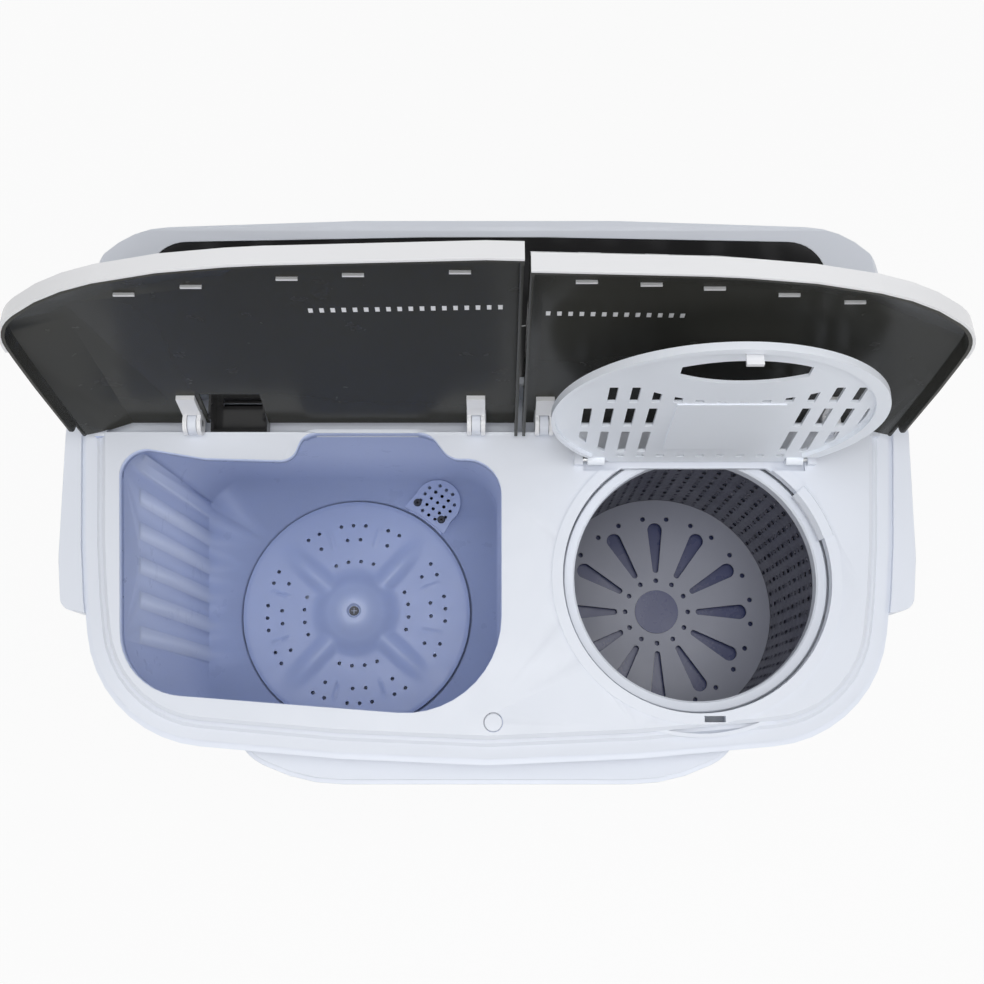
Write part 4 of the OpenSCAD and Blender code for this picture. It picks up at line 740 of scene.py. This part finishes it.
back_sink = 0.3 * MM
back_places, grille_places = [], []
for low, high in loose_boxes("case_screws"):
    middle = (low + high) / 2
    lies_along_y = high.y - low.y > high.z - low.z
    if lies_along_y and middle.y > 150 * MM:
        back_places.append((middle.x, high.y - HEAD_HEIGHT - back_sink, middle.z))
    else:
        grille_places.append((middle.x, middle.y, high.z - HEAD_HEIGHT))
low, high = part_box("pulsator_screw")
pulsator_places = [((low.x + high.x) / 2, (low.y + high.y) / 2, high.z - HEAD_HEIGHT)]
backwards, upwards = -math.pi / 2, 0.0
screw_heads(
    "back_screw_heads", back_places, backwards, 4.2 * MM, screw_steel, "cabinet", "case_screws"
)
screw_heads(
    "grille_screw_heads", grille_places, upwards, 4.2 * MM, screw_dark, "cabinet", "case_screws"
)
screw_heads(
    "pulsator_screw_head", pulsator_places, upwards, 5.4 * MM, screw_dark, "pulsator",
    "pulsator_screw",
)


# Wash tub lining: the blue wall goes on up to the edge of the work top

def tub_lining():
    tub_low, tub_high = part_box("wash_tub")
    deck_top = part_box("screw_plug")[0].z + 3 * MM
    band_low = deck_top - 12.5 * MM
    band_high = deck_top - 0.9 * MM
    upright = 0.1
    middle = (tub_low + tub_high) / 2
    shape = merged("top_frame")
    others = []
    for face in shape.faces:
        at = face.calc_center_median()
        in_mouth = tub_low.x < at.x < tub_high.x and tub_low.y < at.y < tub_high.y
        inwards = (middle - at).xy.dot(face.normal.xy) > 0
        on_wall = abs(face.normal.z) < upright and in_mouth and inwards
        if not on_wall or at.z <= band_low:
            others.append(face)
    bmesh.ops.delete(shape, geom=others, context="FACES")
    for vertex in shape.verts:
        vertex.co.z = min(vertex.co.z, band_high)
    mesh = bpy.data.meshes.new("tub_lining")
    shape.to_mesh(mesh)
    shape.free()
    piece = new_piece("tub_lining", mesh)
    smooth_by_angle(mesh, 40)
    dress(piece, tub_blue)
    thickness = piece.modifiers.new("thickness", "SOLIDIFY")
    thickness.thickness = 0.4 * MM
    thickness.offset = 1.0
    return carried(piece, "cabinet", "tub_blue")


tub_lining()


# Dial marks: ticks round each knob and plain numbers

PANEL_RISE = 0.2 * MM
TOP_OF_DIAL = math.pi / 2


def panel_place(joint_name):
    """The frame of a dial: X across, Y up the slope, Z out of the panel."""
    out = Vector(joint[joint_name]["axis"]).normalized()
    if out.z < 0:
        out = -out
    across = Vector((1, 0, 0))
    up = out.cross(across)
    foot = Vector(joint[joint_name]["pos_m"]) + out * PANEL_RISE
    return Matrix((
        (across.x, up.x, out.x, foot.x),
        (across.y, up.y, out.y, foot.y),
        (across.z, up.z, out.z, foot.z),
        (0, 0, 0, 1),
    ))


def dial_ticks(name, place, count, sweep, every):
    """Ticks spread clockwise over the sweep, every so many of them longer."""
    recipe = Recipe(f"{name}_shape", {
        "Count": count,
        "Sweep": sweep,
        "Radius": 30.2 * MM,
        "Length": 2.2 * MM,
        "Width": 0.5 * MM,
        "Height": 0.1 * MM,
        "Long every": every,
        "Long share": 1.5,
    })
    size = recipe.given
    last = recipe.minus(size["Count"], 1.0)
    step = recipe.math("DIVIDE", recipe.times(size["Sweep"], -1.0), last)
    line = recipe.step("GeometryNodeMeshLine", {
        "Count": size["Count"],
        "Start Location": recipe.vector(x=size["Radius"], y=TOP_OF_DIAL),
        "Offset": recipe.vector(y=step),
    }).outputs[0]
    at = recipe.place()
    ring = recipe.on_circle(line, at["X"], at["Y"], 0.0)
    spot = recipe.place()
    angle = recipe.math("ARCTAN2", spot["Y"], spot["X"])
    index = recipe.step("GeometryNodeInputIndex").outputs[0]
    is_long = recipe.math("LESS_THAN", recipe.math("MODULO", index, size["Long every"]), 0.5)
    grow = recipe.plus(1.0, recipe.times(is_long, recipe.minus(size["Long share"], 1.0)))
    bar = recipe.vector(x=size["Length"], y=size["Width"], z=size["Height"])
    tick = recipe.step("GeometryNodeMeshCube", {"Size": bar}).outputs["Mesh"]
    ticks = recipe.step("GeometryNodeInstanceOnPoints", {
        "Points": ring, "Instance": tick,
        "Rotation": recipe.rotation(z=angle), "Scale": recipe.vector(x=grow, y=grow, z=1.0),
    }).outputs[0]
    return recipe.make(name, ticks, mark_white, place=place)


def dial_numbers(name, place, numbers, sweep):
    """Numbers spread clockwise over the sweep, starting at the top of the dial."""
    radius = 35.5 * MM
    shape = bmesh.new()
    for i, number in enumerate(numbers):
        angle = TOP_OF_DIAL - sweep * i / (len(numbers) - 1)
        words = bpy.data.curves.new(f"{name}_{number}", "FONT")
        words.body = number
        words.size = 5.2 * MM
        words.align_x = "CENTER"
        words.align_y = "CENTER"
        words.extrude = 0.05 * MM
        written = new_piece(f"{name}_{number}", words)
        bpy.context.view_layer.update()
        depsgraph = bpy.context.evaluated_depsgraph_get()
        flat = bpy.data.meshes.new_from_object(written.evaluated_get(depsgraph))
        x, y = radius * math.cos(angle), radius * math.sin(angle)
        flat.transform(Matrix.Translation((x, y, 0)))
        shape.from_mesh(flat)
        bpy.data.objects.remove(written)
        bpy.data.meshes.remove(flat)
    mesh = bpy.data.meshes.new(name)
    shape.to_mesh(mesh)
    shape.free()
    mesh.transform(place)
    piece = new_piece(name, mesh)
    dress(piece, mark_white)
    return piece


# Name, joint, number of ticks, sweep in degrees, every which tick is long, and the numbers
dials = (
    ("wash_dial", "wash_timer_turn", 31, 300, 6, ["0", "3", "6", "9", "12", "15"]),
    ("selector_dial", "selector_turn", 3, 80, 1, ["0", "1", "2"]),
    ("spin_dial", "spin_timer_turn", 26, 300, 5, ["0", "1", "2", "3", "4", "5"]),
)
for name, joint_name, count, sweep, every, numbers in dials:
    place = panel_place(joint_name)
    sweep = math.radians(sweep)
    carried(dial_ticks(f"{name}_ticks", place, count, sweep, every), "cabinet", "white_trim")
    carried(dial_numbers(f"{name}_numbers", place, numbers, sweep), "cabinet", "white_trim")


# Stage: a pale floor, soft light and the camera

def area_lamp(name, place, target, size, power):
    """A soft box at a place, turned to its target."""
    light = bpy.data.lights.new(name, "AREA")
    light.shape = "RECTANGLE"
    light.size, light.size_y = size
    light.energy = power
    lamp = bpy.data.objects.new(name, light)
    lamp.location = place
    aim = (Vector(target) - Vector(place)).normalized()
    lamp.rotation_euler = aim.to_track_quat("-Z", "Y").to_euler()
    bpy.context.collection.objects.link(lamp)
    return lamp


def seen_white(tree, background, surface, out, share=1.0):
    """Shows the background to the camera and in gloss and glass; other light meets the surface."""
    path = tree.nodes.new("ShaderNodeLightPath")
    seen = path.outputs["Is Camera Ray"]
    for ray in ("Is Glossy Ray", "Is Transmission Ray"):
        either = tree.nodes.new("ShaderNodeMath")
        either.operation = "MAXIMUM"
        tree.links.new(seen, either.inputs[0])
        tree.links.new(path.outputs[ray], either.inputs[1])
        seen = either.outputs[0]
    part = tree.nodes.new("ShaderNodeMath")
    part.operation = "MULTIPLY"
    part.inputs[1].default_value = share
    tree.links.new(seen, part.inputs[0])
    mix = tree.nodes.new("ShaderNodeMixShader")
    tree.links.new(part.outputs[0], mix.inputs["Fac"])
    tree.links.new(surface, mix.inputs[1])
    tree.links.new(background, mix.inputs[2])
    tree.links.new(mix.outputs["Shader"], out)


WHITE = (1, 1, 1, 1)
world = bpy.data.worlds.new("studio")
bpy.context.scene.world = world
world.use_nodes = True
sky = world.node_tree
soft_sky = sky.nodes["Background"]
soft_sky.inputs["Color"].default_value = WHITE
soft_sky.inputs["Strength"].default_value = 0.42
white = sky.nodes.new("ShaderNodeBackground")
white.inputs["Color"].default_value = WHITE
seen_white(
    sky, white.outputs["Background"], soft_sky.outputs["Background"],
    sky.nodes["World Output"].inputs["Surface"],
)

reach = 6.0
floor_mesh = bpy.data.meshes.new("floor")
floor_mesh.from_pydata(
    [(-reach, -reach, 0), (reach, -reach, 0), (reach, reach, 0), (-reach, reach, 0)],
    [],
    [(0, 1, 2, 3)],
)
floor = new_piece("floor", floor_mesh)
floor_paint, tree, shader = shader_tree("pale_floor")
shader.inputs["Base Color"].default_value = (0.86, 0.86, 0.86, 1)
shader.inputs["Roughness"].default_value = 0.9
glow = tree.nodes.new("ShaderNodeEmission")
glow.inputs["Strength"].default_value = 1.0
seen_white(
    tree, glow.outputs["Emission"], shader.outputs["BSDF"],
    tree.nodes["Material Output"].inputs["Surface"], 0.9,
)
floor_mesh.materials.append(floor_paint)
floor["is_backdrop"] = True

area_lamp("key_light", (-0.5, -2.0, 2.9), (0, 0, 0.75), (2.2, 1.6), 18)
area_lamp("fill_light", (2.0, -0.4, 2.3), (0, 0, 0.75), (1.8, 1.8), 10)
area_lamp("top_light", (-0.05, -0.12, 3.4), (0, -0.05, 0.5), (1.4, 1.2), 22)

camera_data = bpy.data.cameras.new("camera")
camera_data.lens = 50
camera_data.sensor_width = 36
camera = bpy.data.objects.new("camera", camera_data)
camera.location = (4 * MM, -195 * MM, 1887 * MM)
camera_tilt = math.radians(10.7)
camera.rotation_euler = (camera_tilt, 0, 0)
bpy.context.collection.objects.link(camera)
bpy.context.scene.camera = camera
bpy.context.scene.view_settings.view_transform = "Standard"

low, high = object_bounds()
